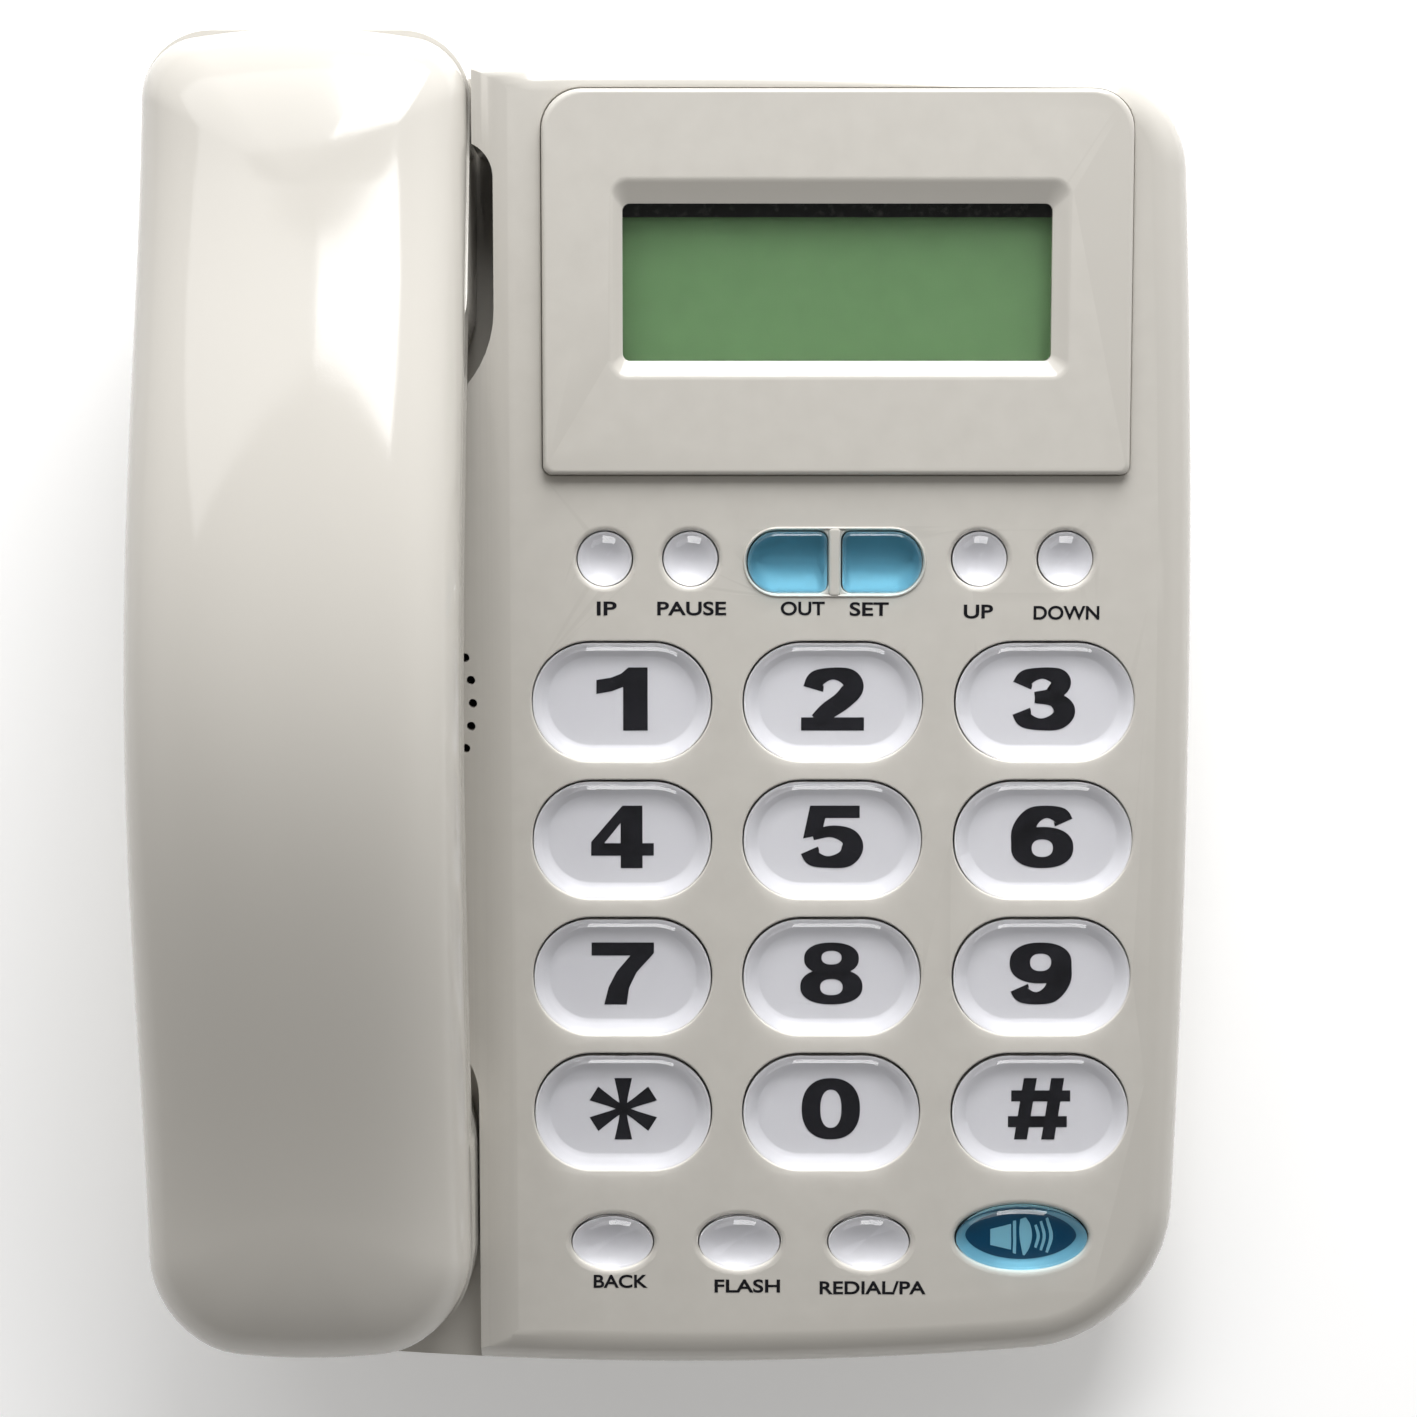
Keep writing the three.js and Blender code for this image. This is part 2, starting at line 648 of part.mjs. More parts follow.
const panelRect = (inset) => roundedRect({
  left: PANEL.left + inset,
  right: PANEL.right - inset,
  front: PANEL.front + inset,
  back: PANEL.back - inset,
}, [PANEL.frontCorner, PANEL.corner, PANEL.corner, PANEL.frontCorner], 5);

const windowRect = (margin) => roundedRect({
  left: WINDOW.left - margin,
  right: WINDOW.right + margin,
  front: WINDOW.front - margin,
  back: WINDOW.back + margin,
}, square(WINDOW.corner), 3);

// The hook switch's plunger, in the floor of the ear well, in the handset's frame.
const hookOutline = (margin) => moved(
  centredRect(HOOK.width + 2 * margin, HOOK.height + 2 * margin, square(HOOK.corner + margin), 3),
  HOOK.x,
  HOOK.y,
);

// Room under the panel for the housing's own skin, which is lower there.
const panelSeat = (margin) => fromDeck(prism(offset(panelRect(-GAP), margin), -PANEL_SUNK - margin, THROUGH));

const inside = wedge(WALL, SPLIT_HEIGHT - WALL)
  .subtract(trough(WALL))
  .subtract(wells(WALL))
  .subtract(panelSeat(WALL));
const postBottom = SPLIT_HEIGHT + GAP;
const upperPosts = SCREW_PLACES.map(
  ([x, y]) => manifold(rod(x, y, SCREW.post, postBottom, DECK_HEIGHT + THROUGH)),
);
const screwTop = SCREW_HEAD_HEIGHT + SCREW_LENGTH + 2 * GAP;

let upper = wedge(0, SPLIT_HEIGHT + GAP / 2).subtract(inside);
for (const post of upperPosts) {
  const skin = inside.intersect(post);
  upper = upper.add(skin);
}
const upperCuts = [
  trough(0),
  wells(0),
  panelSeat(0),
  fromDeck(prism(windowRect(PANE_MARGIN + GAP), -THROUGH / 4, THROUGH)),
  fromHandset(prism(hookOutline(GAP), -THROUGH / 4, THROUGH)),
  ...deckHoles,
  ...grilleHoles(),
  ...SCREW_PLACES.map(([x, y]) => manifold(rod(x, y, SCREW.hole, 0, screwTop, 12))),
];
for (const cut of upperCuts) upper = upper.subtract(cut);
add(group, 'upper_housing', upper, 'ivory');

// ---------------------------------------------------------------- display

const bevelRect = roundedRect(BEVEL, square(BEVEL.corner), 3);
const bevelCut = loft([
  ringAt(windowRect(0), () => PANEL_PROUD - BEVEL.depth),
  ringAt(bevelRect, () => PANEL_PROUD + GAP / 10),
]);
const panel = manifold(prism(panelRect(0), -PANEL_SUNK + GAP, PANEL_PROUD))
  .subtract(manifold(bevelCut))
  .subtract(manifold(prism(windowRect(0), -THROUGH, THROUGH)));
add(deck, 'display_panel', panel, 'ivory');

const paneTop = -PANEL_SUNK;
const paneRect = windowRect(PANE_MARGIN);
add(deck, 'display_window', prism(paneRect, paneTop - PANE_THICKNESS, paneTop), 'glass');
add(deck, 'lcd_module', prism(paneRect, -LCD_DEPTH - LCD_THICKNESS, -LCD_DEPTH), 'lcd');

// ---------------------------------------------------------------- mat and boards

const matParts = [slab(MAT_AREA, MAT_CORNER, MAT_BOTTOM, MAT_TOP, 3)];
for (const key of keys) matParts.push(rod(key.x, key.y, DOME_RADIUS, MAT_BOTTOM, DOME_TOP, 6));
add(deck, 'key_mat', joined(...matParts), 'mat');
add(deck, 'key_board', slab(MAT_AREA, MAT_CORNER, BOARD_TOP - BOARD_THICKNESS, BOARD_TOP, 3), 'board');

const boardTop = MAIN_BOARD.height + BOARD_THICKNESS;
add(group, 'main_board', slab(MAIN_BOARD, MAIN_BOARD.corner, MAIN_BOARD.height, boardTop), 'board');

// ---------------------------------------------------------------- loudspeaker

const speakerTop = -CRADLE_DROP - WALL - GAP;
const speakerProfile = [
  [0, 0],
  [SPEAKER.rim, 0],
  [SPEAKER.rim, -SPEAKER.rimDepth],
  [SPEAKER.cone, -SPEAKER.depth / 2],
  [SPEAKER.cone, -SPEAKER.depth],
  [0, -SPEAKER.depth],
].reverse().map(([r, z]) => new THREE.Vector2(r, z));
const speaker = new THREE.LatheGeometry(speakerProfile, 20)
  .rotateX(Math.PI / 2)
  .translate(SPEAKER.x, SPEAKER.y, speakerTop);
add(deck, 'loudspeaker', manifold(speaker), 'black');

// ---------------------------------------------------------------- hook switch

const plungerTop = -WELL_FLOOR_CLEARANCE / 2;
const plungerFlangeTop = -WELL_FLOOR_CLEARANCE - WALL - HOOK.travel - GAP;
const plunger = joined(
  prism(hookOutline(0), plungerTop - HOOK.length, plungerTop),
  prism(hookOutline(HOOK.flange), plungerFlangeTop - FLANGE_THICKNESS, plungerFlangeTop),
);
add(handset, 'hook_plunger', plunger, 'ivory');

const hookWorld = new THREE.Vector3(HOOK.x, HOOK.y, plungerTop - HOOK.length)
  .applyMatrix4(handset.matrixWorld);
const switchTop = hookWorld.z - 2 * GAP;
add(group, 'hook_switch', box(
  hookWorld.x - HOOK.width / 2,
  hookWorld.x + HOOK.width / 2,
  hookWorld.y - HOOK.height / 2,
  hookWorld.y + HOOK.height / 2,
  FLOOR_TOP + GAP,
  switchTop,
), 'black');

// ---------------------------------------------------------------- sockets

// Socket body with its mouth towards +Y at y = 0, its cavity's lowest edge at z = 0.
function socket({ width, height, depth }) {
  const half = width / 2 + SOCKET_WALL;
  const low = -SOCKET_WALL / 2;
  const body = manifold(box(-half, half, -depth - SOCKET_WALL, 0, low, height - low));
  return body.subtract(manifold(box(-width / 2, width / 2, -depth, GAP, 0, height)));
}

const turned = (solid, angle, x, y, z) => solid.rotate([0, 0, angle]).translate([x, y, z]);
const lineMouth = backEdge(LINE_SOCKET.x) - TRAY_TAPER - TRAY_EDGE - WALL;
const cordMouth = leftEdge(CORD_SOCKET.y) + TRAY_TAPER + TRAY_EDGE + WALL;
add(group, 'line_jack', turned(socket(LINE_SOCKET), 0, LINE_SOCKET.x, lineMouth, LINE_SOCKET.low), 'black');
add(group, 'cord_jack', turned(socket(CORD_SOCKET), 90, cordMouth, CORD_SOCKET.y, CORD_SOCKET.low), 'black');

// ---------------------------------------------------------------- ringer switch and hands-free microphone

const ringerWall = backEdge(RINGER.x) - TRAY_TAPER * RINGER.lean;
const ringerLeft = RINGER.x - (RINGER.width + RINGER.travel) / 2;
const ringerSlotEnd = RINGER.x + (RINGER.width + RINGER.travel) / 2;
const ringerInner = backEdge(RINGER.x) - TRAY_TAPER - TRAY_EDGE - WALL;
add(group, 'ringer_knob', box(
  ringerLeft,
  ringerLeft + RINGER.width,
  ringerInner,
  ringerWall + RINGER.proud,
  RINGER.low,
  RINGER.low + RINGER.height,
), 'black');
add(group, 'ringer_switch', box(
  ringerLeft - RINGER.width / 2,
  ringerSlotEnd + RINGER.width / 2,
  ringerInner - GAP - RINGER.body,
  ringerInner - GAP,
  FLOOR_TOP + GAP,
  SPLIT_HEIGHT - WALL,
), 'black');

const micFace = frontEdge(MIC.x) + TRAY_TAPER + TRAY_EDGE + WALL;
const micShape = new THREE.CylinderGeometry(MIC.radius, MIC.radius, MIC.length, 16)
  .translate(MIC.x, micFace + MIC.length / 2, MIC.z);
add(group, 'handsfree_microphone', micShape, 'black');

// ---------------------------------------------------------------- batteries and door

const cellPitch = 2 * CELL.radius + CELL.room;
const cellBox = {
  left: CELL_BOX.left,
  right: CELL_BOX.left + CELL.length + 2 * CELL_BOX.endRoom,
  front: CELL_BOX.front,
  back: CELL_BOX.front + cellPitch * CELL.count + 2 * CELL_BOX.sideRoom,
};
const doorTop = FOOT_HEIGHT + GAP + DOOR_THICKNESS;
const seatTop = doorTop + GAP;
const cellLow = seatTop + GAP;
const cellBoxTop = cellLow + 2 * CELL.radius + 2 * GAP;
for (let i = 0; i < CELL.count; i += 1) {
  const cell = new THREE.CylinderGeometry(CELL.radius, CELL.radius, CELL.length, 20)
    .rotateZ(Math.PI / 2)
    .translate(
      (cellBox.left + cellBox.right) / 2,
      cellBox.front + CELL_BOX.sideRoom + cellPitch * (i + 0.5),
      cellLow + CELL.radius,
    );
  add(group, `battery_${i + 1}`, cell, 'cell');
}
const doorRect = {
  left: cellBox.left - DOOR_LIP,
  right: cellBox.right + DOOR_LIP,
  front: cellBox.front - DOOR_LIP,
  back: cellBox.back + DOOR_LIP,
};
const doorSeat = {
  left: doorRect.left - GAP,
  right: doorRect.right + DOOR_TRAVEL + GAP,
  front: doorRect.front - GAP,
  back: doorRect.back + GAP,
};
add(group, 'battery_door', slab(doorRect, DOOR_CORNER, FOOT_HEIGHT + GAP, doorTop, 3), 'ivory');

// ---------------------------------------------------------------- lower housing

const trayTop = SPLIT_HEIGHT - GAP / 2;
function tray(inset, bottom, top) {
  return manifold(loft([
    ringAt(offset(baseOutline, -TRAY_TAPER - TRAY_EDGE - inset), () => bottom),
    ringAt(offset(baseOutline, -TRAY_TAPER - inset), () => bottom + TRAY_EDGE),
    ringAt(offset(baseOutline, -inset), () => top),
  ]));
}
const grown = (rect, by) => ({
  left: rect.left - by,
  right: rect.right + by,
  front: rect.front - by,
  back: rect.back + by,
});
const postInset = MAIN_BOARD.postInset;
const boardPosts = [MAIN_BOARD.left + postInset, MAIN_BOARD.right - postInset].flatMap(
  (x) => [MAIN_BOARD.front + postInset, MAIN_BOARD.back - postInset].map((y) => [x, y]),
);

let lower = tray(0, FOOT_HEIGHT, trayTop).subtract(tray(WALL, FLOOR_TOP, trayTop + WALL));
const lowerAdds = [
  slab(grown(cellBox, CELL_BOX.wall), CELL_BOX.corner, FLOOR_TOP - GAP, cellBoxTop + CELL_BOX.wall),
  slab(grown(doorSeat, CELL_BOX.wall), CELL_BOX.corner, FLOOR_TOP - GAP, seatTop + CELL_BOX.wall),
  ...SCREW_PLACES.map(([x, y]) => rod(x, y, SCREW.boss, FLOOR_TOP - GAP, trayTop)),
  ...boardPosts.map(([x, y]) => rod(x, y, MAIN_BOARD.post, FLOOR_TOP - GAP, MAIN_BOARD.height - GAP, 12)),
];
const lineHalf = LINE_SOCKET.width / 2;
const cordHalf = CORD_SOCKET.width / 2;
const lowerCuts = [
  slab(cellBox, CELL_BOX.corner, 0, cellBoxTop),
  slab(doorSeat, DOOR_CORNER, 0, seatTop, 3),
  ...SCREW_PLACES.map(([x, y]) => rod(x, y, SCREW.hole, 0, SPLIT_HEIGHT, 12)),
  ...SCREW_PLACES.map(([x, y]) => rod(x, y, SCREW.counterbore, 0, SCREW_HEAD_HEIGHT)),
  ...FOOT_PLACES.map(([x, y]) => rod(x, y, FOOT.radius + GAP, 0, FOOT_HEIGHT + FOOT.sunk + GAP)),
  box(LINE_SOCKET.x - lineHalf, LINE_SOCKET.x + lineHalf, lineMouth - GAP, BASE_BACK + WALL,
    LINE_SOCKET.low, LINE_SOCKET.low + LINE_SOCKET.height),
  box(BASE_LEFT - WALL, cordMouth + GAP, CORD_SOCKET.y - cordHalf, CORD_SOCKET.y + cordHalf,
    CORD_SOCKET.low, CORD_SOCKET.low + CORD_SOCKET.height),
  box(ringerLeft - GAP, ringerSlotEnd + GAP, ringerInner - GAP, BASE_BACK + WALL,
    RINGER.low - GAP, RINGER.low + RINGER.height + GAP),
  new THREE.CylinderGeometry(MIC.hole, MIC.hole, THROUGH / 4, 10)
    .translate(MIC.x, micFace - THROUGH / 8, MIC.z),
];
for (const extra of lowerAdds) lower = lower.add(manifold(extra));
for (const cut of lowerCuts) lower = lower.subtract(manifold(cut));
add(group, 'lower_housing', lower, 'ivory');

// ---------------------------------------------------------------- feet, screws and ballast

FOOT_PLACES.forEach(([x, y], i) => {
  add(group, `foot_${i + 1}`, rod(x, y, FOOT.radius, 0, FOOT_HEIGHT + FOOT.sunk), 'rubber');
});

function screw(x, y, headZ, length) {
  return joined(
    rod(x, y, SCREW.head, headZ - SCREW.headHeight, headZ, 12),
    rod(x, y, SCREW.shank, headZ - GAP, headZ + length, 10),
  );
}
SCREW_PLACES.forEach(([x, y], i) => {
  add(group, `housing_screw_${i + 1}`, screw(x, y, SCREW_HEAD_HEIGHT - GAP, SCREW_LENGTH), 'steel');
});

const ballastLow = FLOOR_TOP + GAP;
const ballastTop = ballastLow + BALLAST.thickness;
add(group, 'ballast_plate', slab(BALLAST, BALLAST.corner, ballastLow, ballastTop), 'steel');

// ---------------------------------------------------------------- handset shells

const hollowTop = dome(HANDSET_WALL);
let topShell = dome(0).subtract(hollowTop);
for (const y of HANDSET_SCREWS) {
  topShell = topShell.add(hollowTop.intersect(manifold(rod(0, y, HANDSET_POST, 0, THROUGH))));
}
topShell = topShell.intersect(halfSpace(true));
for (const y of HANDSET_SCREWS) {
  const boreTop = partingZ(y) + HANDSET_SCREW_BITE + GAP;
  topShell = topShell.subtract(manifold(rod(0, y, SCREW.hole, 0, boreTop, 12)));
}
add(handset, 'handset_top_shell', topShell, 'ivory');

const hollowBottom = handsetBody(HANDSET_WALL);
let bottomShell = handsetBody(0).subtract(hollowBottom);
for (const y of HANDSET_SCREWS) {
  bottomShell = bottomShell.add(hollowBottom.intersect(manifold(rod(0, y, SCREW.boss, 0, THROUGH))));
}
bottomShell = bottomShell.intersect(halfSpace(false));
const jackMouth = -MOUTH_CUP_SLOPE + HANDSET_SOCKET_SETBACK;
const soundHole = (x, y) => rod(x, y, SOUND_HOLES.radius, -GAP, HANDSET_WALL + GAP, 8);
const bottomCuts = HANDSET_SCREWS.flatMap((y) => [
  rod(0, y, SCREW.hole, 0, THROUGH, 12),
  rod(0, y, SCREW.counterbore, 0, partingZ(y) - GRIP_DEPTH / 2),
]);
bottomCuts.push(
  soundHole(0, MOUTHPIECE.y),
  soundHole(0, EARPIECE.y),
  box(-cordHalf, cordHalf, -HANDSET_HALF_LENGTH - WALL, jackMouth + GAP,
    HANDSET_SOCKET_LOW, HANDSET_SOCKET_LOW + CORD_SOCKET.height),
);
for (let i = 0; i < SOUND_HOLES.count; i += 1) {
  const angle = (i / SOUND_HOLES.count) * 2 * Math.PI;
  const out = SOUND_HOLES.ring;
  bottomCuts.push(soundHole(out * Math.cos(angle), EARPIECE.y + out * Math.sin(angle)));
}
for (const cut of bottomCuts) bottomShell = bottomShell.subtract(manifold(cut));
add(handset, 'handset_bottom_shell', bottomShell, 'ivory');

// ---------------------------------------------------------------- inside the handset

const cupFloor = HANDSET_WALL + GAP;
const earpieceTop = cupFloor + EARPIECE.height;
add(handset, 'earpiece', rod(0, EARPIECE.y, EARPIECE.radius, cupFloor, earpieceTop, 20), 'black');
add(handset, 'handset_microphone', rod(
  0,
  MOUTHPIECE.y,
  MOUTHPIECE.radius,
  cupFloor,
  cupFloor + MOUTHPIECE.height,
), 'black');
add(handset, 'handset_jack', turned(socket(CORD_SOCKET), 180, 0, jackMouth, HANDSET_SOCKET_LOW), 'black');
add(handset, 'handset_weight', slab(WEIGHT, WEIGHT.corner, cupFloor, cupFloor + WEIGHT.height), 'steel');
HANDSET_SCREWS.forEach((y, i) => {
  const headZ = partingZ(y) - GRIP_DEPTH / 2 - GAP;
  add(handset, `handset_screw_${i + 1}`, screw(0, y, headZ, GRIP_DEPTH / 2 + HANDSET_SCREW_BITE), 'steel');
});

export default group;
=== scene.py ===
"""Corded desk telephone: the finished surfaces, keys, lettering and studio built round its packed model."""
import math

import bpy
from bpy.props import FloatProperty, FloatVectorProperty, IntProperty, PointerProperty
from mathutils import Matrix, Vector


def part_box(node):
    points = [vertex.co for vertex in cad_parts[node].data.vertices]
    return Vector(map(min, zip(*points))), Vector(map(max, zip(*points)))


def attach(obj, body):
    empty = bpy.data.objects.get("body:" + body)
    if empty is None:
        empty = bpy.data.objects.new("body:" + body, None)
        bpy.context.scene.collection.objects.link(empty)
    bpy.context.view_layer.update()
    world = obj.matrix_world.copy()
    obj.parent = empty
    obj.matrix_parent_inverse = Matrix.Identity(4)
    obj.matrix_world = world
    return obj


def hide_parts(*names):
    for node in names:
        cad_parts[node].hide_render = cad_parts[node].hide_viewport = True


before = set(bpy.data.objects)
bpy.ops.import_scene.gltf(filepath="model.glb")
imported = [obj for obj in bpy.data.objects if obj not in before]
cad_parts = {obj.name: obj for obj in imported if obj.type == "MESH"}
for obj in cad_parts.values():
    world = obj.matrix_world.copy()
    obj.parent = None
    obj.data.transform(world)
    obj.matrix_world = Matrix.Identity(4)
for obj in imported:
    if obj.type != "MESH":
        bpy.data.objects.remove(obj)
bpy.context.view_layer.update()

bl_info = {
    "name": "Corded desk telephone",
    "version": (1, 0, 0),
    "blender": (4, 5, 0),
    "location": "3D View > Sidebar > Telephone",
    "description": "Builds the shells, keys, display and studio of a corded desk telephone",
    "category": "Object",
}

MM = 0.001

# ---------------------------------------------------------------- sizes and colours


def length(name, description, default):
    """A length property whose default is given in millimetres."""
    return FloatProperty(
        name=name, description=description, default=default * MM, subtype="DISTANCE", unit="LENGTH",
        precision=5,
    )


def lengths(name, description, default):
    """A row of lengths whose defaults are given in millimetres."""
    values = [value * MM for value in default]
    return FloatVectorProperty(
        name=name, description=description, default=values, size=len(values), unit="LENGTH", precision=5
    )


def angle(name, description, default):
    """An angle property whose default is given in degrees."""
    return FloatProperty(
        name=name, description=description, default=math.radians(default), subtype="ANGLE", unit="ROTATION"
    )


def colour(name, description, default):
    """A linear colour property."""
    return FloatVectorProperty(
        name=name, description=description, default=default, size=3, subtype="COLOR", min=0, max=1
    )


def share(name, description, default):
    """A number between nought and one."""
    return FloatProperty(name=name, description=description, default=default, subtype="FACTOR", min=0, max=1)


def amount(name, description, default):
    """A plain number."""
    return FloatProperty(name=name, description=description, default=default)


def extent(node):
    """A packed node's box in millimetres: left, right, front, back, low, high."""
    low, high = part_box(node)
    return [value / MM for axis in range(3) for value in (low[axis], high[axis])]


LEFT, RIGHT, FRONT, BACK, LOW = range(5)
UPPER = extent("upper_housing")
SPLIT_DROP = 0.075  # from the upper housing's lowest edge down to the middle of the joint


class PhoneBase(bpy.types.PropertyGroup):
    """Sizes of the console's two housings."""

    left: length("Left", "Left edge of the plan", UPPER[LEFT])
    right: length("Right", "Right edge of the plan", UPPER[RIGHT])
    front: length("Front", "Front edge of the plan", UPPER[FRONT])
    back: length("Back", "Back edge of the plan", UPPER[BACK])
    side_bulge: length("Side bulge", "Swell of the two sides", 2.5)
    back_bulge: length("Back bulge", "Swell of the back edge", 2.3)
    front_bulge: length("Front bulge", "Swell of the front edge", 4.5)
    back_corner: length("Back corners", "Radius of the back corners", 15)
    front_corner: length("Front corners", "Radius of the front corners", 22)
    split: length("Split height", "Height of the joint between the housings", UPPER[LOW] - SPLIT_DROP)
    floor: length("Floor", "Height of the floor's inner face", 4.5)
    deck_height: length("Deck height", "Height of the deck at the middle", 37.2)
    slope: angle("Deck slope", "Rise of the deck towards the back", 7)
    shoulder: length("Shoulder", "Rounding from the deck into the walls", 6)
    wall: length("Wall", "Thickness of the housings", 2.4)
    gap: length("Gap", "Gap between fixed pieces", 0.3)
    tray_taper: length("Tray taper", "How much narrower the tray is at its bottom", 3)
    tray_edge: length("Tray edge", "Rounding under the tray", 2)
    cradle_drop: length("Cradle drop", "Depth of the cradle trough", 3.5)
    cradle_edge: length("Cradle edge", "Where the trough leaves the deck", -25)
    cradle_floor: length("Cradle floor", "Where the trough reaches its floor", -40)
    grille_spot: lengths("Grille", "Middle of the loudspeaker grille on the deck", (-55, 1))
    grille_pitch: length("Grille pitch", "Distance between grille holes", 3.8)
    grille_hole: length("Grille hole", "Radius of a grille hole", 0.72)
    grille_rings: IntProperty(name="Grille rings", description="Rings of grille holes", default=6, min=1)


class PhoneHandset(bpy.types.PropertyGroup):
    """Sizes of the handset and of the wells that it rests in."""

    place: lengths("Place", "Middle of the handset at the height of its rims", (-58.3, 2.68, 24.5))
    tilt: angle("Tilt", "Rise of the resting handset towards the back", 2.67)
    half_width: length("Half width", "Half the width of the shells", 25.9)
    half_length: length("Half length", "Half the length of the shells", 106.8)
    end_bulge: length("End bulge", "Swell of the two ends", 3)
    ear_corner: length("Ear corners", "Plan radius at the ear end", 8)
    mouth_corner: length("Mouth corners", "Plan radius at the mouth end", 14)
    wall: length("Wall", "Thickness of the shells", 2.2)
    crown: length("Crown", "Height of the top shell over the parting line", 14)
    crown_power: amount("Crown power", "Power of the top shell's superellipse", 2.5)
    parting_end: length("Parting end", "Height of the parting line at the ends", 15)
    parting_arch: length("Parting arch", "Rise of the parting line in the middle", 22.5)
    parting_span: length("Parting span", "Half span of the parting line's arch", 110)
    grip_depth: length("Grip depth", "Depth of the bottom shell along the grip", 8)
    cup_half_width: length("Cup half width", "Half the width of the cups", 26.2)
    cup_edge: length("Cup edge", "Rounding round a cup's rim", 3)
    cup_corner: length("Cup corners", "Plan radius of a cup towards the grip", 16)
    ear_start: length("Ear cup start", "Where the ear cup begins", 48)
    ear_slope: length("Ear end slope", "Where the ear end starts to rise", 88)
    mouth_start: length("Mouth cup start", "Where the mouth cup begins", 58)
    mouth_slope: length("Mouth end slope", "Where the mouth end starts to rise", 92)
    well_clearance: length("Well clearance", "Room round the ear cup and before the mouth cup", 3.8)
    side_clearance: length("Side clearance", "Gap between a cup's end and the console beside it", 0.4)
    end_clearance: length("End clearance", "Room behind the ear cup's slope", 1)
    floor_clearance: length("Floor clearance", "Room under the rims", 0.8)
    screw_spot: length("Screws", "Distance of each shell screw from the middle", 30)
    ear_spot: length("Earpiece", "Middle of the earpiece along the handset", 69.5)
    mouth_spot: length("Mouthpiece", "Middle of the mouthpiece along the handset", -73)


class PhoneDisplay(bpy.types.PropertyGroup):
    """Sizes of the display panel on the deck; edges run left, right, front and back."""

    panel: lengths("Panel", "Edges of the panel", (-20.5, 73.4, 38.2, 99.2))
    panel_corners: lengths("Panel corners", "Front and back corner radii", (1.5, 6.5))
    proud: length("Proud", "Height of the panel over the deck", 1.9)
    sunk: length("Sunk", "Depth of the panel's seat", 1.4)
    bevel: lengths("Bevel", "Outer edges of the sloping frame", (-9.3, 63.2, 53.9, 84.8))
    bevel_depth: length("Bevel depth", "Fall of the sloping frame", 1.7)
    window: lengths("Window", "Edges of the window", (-7.7, 60.7, 56.3, 81.2))
    pane_margin: length("Pane margin", "Reach of the pane past the window", 1.8)
    edge: length("Edge", "Rounding of the panel's edge", 0.8)


class PhoneKeys(bpy.types.PropertyGroup):
    """Sizes shared by the keys; their places come from the packed model."""

    clearance: length("Clearance", "Gap between a key and its hole", 0.35)
    fill: length("Fill", "How much of its hole's gap a cap fills", 0.15)
    rim: length("Rim", "Rounding of a dial key's hole", 0.3)
    small_rim: length("Small rim", "Dish round a small key's hole", 0.9)
    dial_proud: length("Dial key height", "Height of a dial key over the deck", 2.4)
    dial_edge: length("Dial key edge", "Rounding of a dial key's cap", 1.9)
    small_proud: length("Small key height", "Height of a small key over the deck", 2.2)
    face_depth: length("Face depth", "Depth of the white face under the deck", 1.0)
    face_drop: length("Face drop", "Fall from the face's border to its flat middle", 0.95)
    print_height: length("Figure height", "Height of the figures on the dial keys", 10.3)
    label_height: length("Label height", "Height of the lettering on the deck", 2.25)


class PhoneSmallParts(bpy.types.PropertyGroup):
    """Screws, contacts and other small parts."""

    screw_radius: length("Screw head", "Radius of a screw's head", 2.8)
    contact_radius: length("Contact", "Radius of a contact wire", 0.25)
    contact_pitch: length("Contact pitch", "Distance between contact wires", 1.27)


class PhoneFinish(bpy.types.PropertyGroup):
    """Colours and gloss of the materials."""

    ivory: colour("Ivory", "Moulded housings", (0.565, 0.545, 0.505))
    ivory_warm: colour("Warm ivory", "Drift in the moulded colour", (0.57, 0.545, 0.50))
    ivory_roughness: share("Ivory roughness", "Gloss of the housings", 0.09)
    clear: colour("Clear cap", "Clear key caps", (0.985, 0.985, 1.0))
    blue: colour("Blue cap", "Blue key caps", (0.38, 0.72, 0.84))
    face: colour("Key face", "White faces under the caps", (0.58, 0.58, 0.60))
    blue_face: colour("Blue face", "Faces of the blue keys", (0.34, 0.44, 0.50))
    navy_face: colour("Navy face", "Middle of the loudspeaker key", (0.008, 0.06, 0.11))
    ink: colour("Ink", "Figures and lettering", (0.004, 0.004, 0.005))
    screen: colour("Screen", "Resting screen", (0.33, 0.58, 0.28))
    screen_shade: colour("Screen shade", "Drift in the screen's colour", (0.30, 0.53, 0.25))
    dark: colour("Dark parts", "Sockets, knob and inner plastic", (0.012, 0.012, 0.013))
    rubber: colour("Rubber", "Feet", (0.035, 0.035, 0.036))
    board: colour("Board", "Printed boards", (0.02, 0.13, 0.05))
    metal: colour("Metal", "Screws and weights", (0.42, 0.43, 0.44))
    brass: colour("Gilt", "Contact wires in the sockets", (0.75, 0.52, 0.16))
    wrap: colour("Cell wrap", "Printed wrap of the cells", (0.05, 0.07, 0.10))


class PhoneStage(bpy.types.PropertyGroup):
    """Camera, lights and floor."""

    camera_spot: FloatVectorProperty(
        name="Camera", description="Place of the camera", default=(0.006, 0.00035, 0.6), size=3, unit="LENGTH"
    )
    lens: amount("Focal length", "Focal length in millimetres on a 36 mm sensor", 88.4)
    window_power: amount("Window power", "Power of the window-like light in watts", 4.7)
    fill_power: amount("Fill power", "Power of the soft light at the back in watts", 2.6)
    horizon: amount("Horizon", "Strength of the surrounding light near the horizon", 1.0)
    front_share: share("Front share", "Part of the surrounding light that also comes from the front", 0.35)
    zenith: amount("Zenith", "Strength of the surrounding light overhead", 0.1)
    floor: colour("Floor", "Pale studio floor", (0.93, 0.93, 0.93))


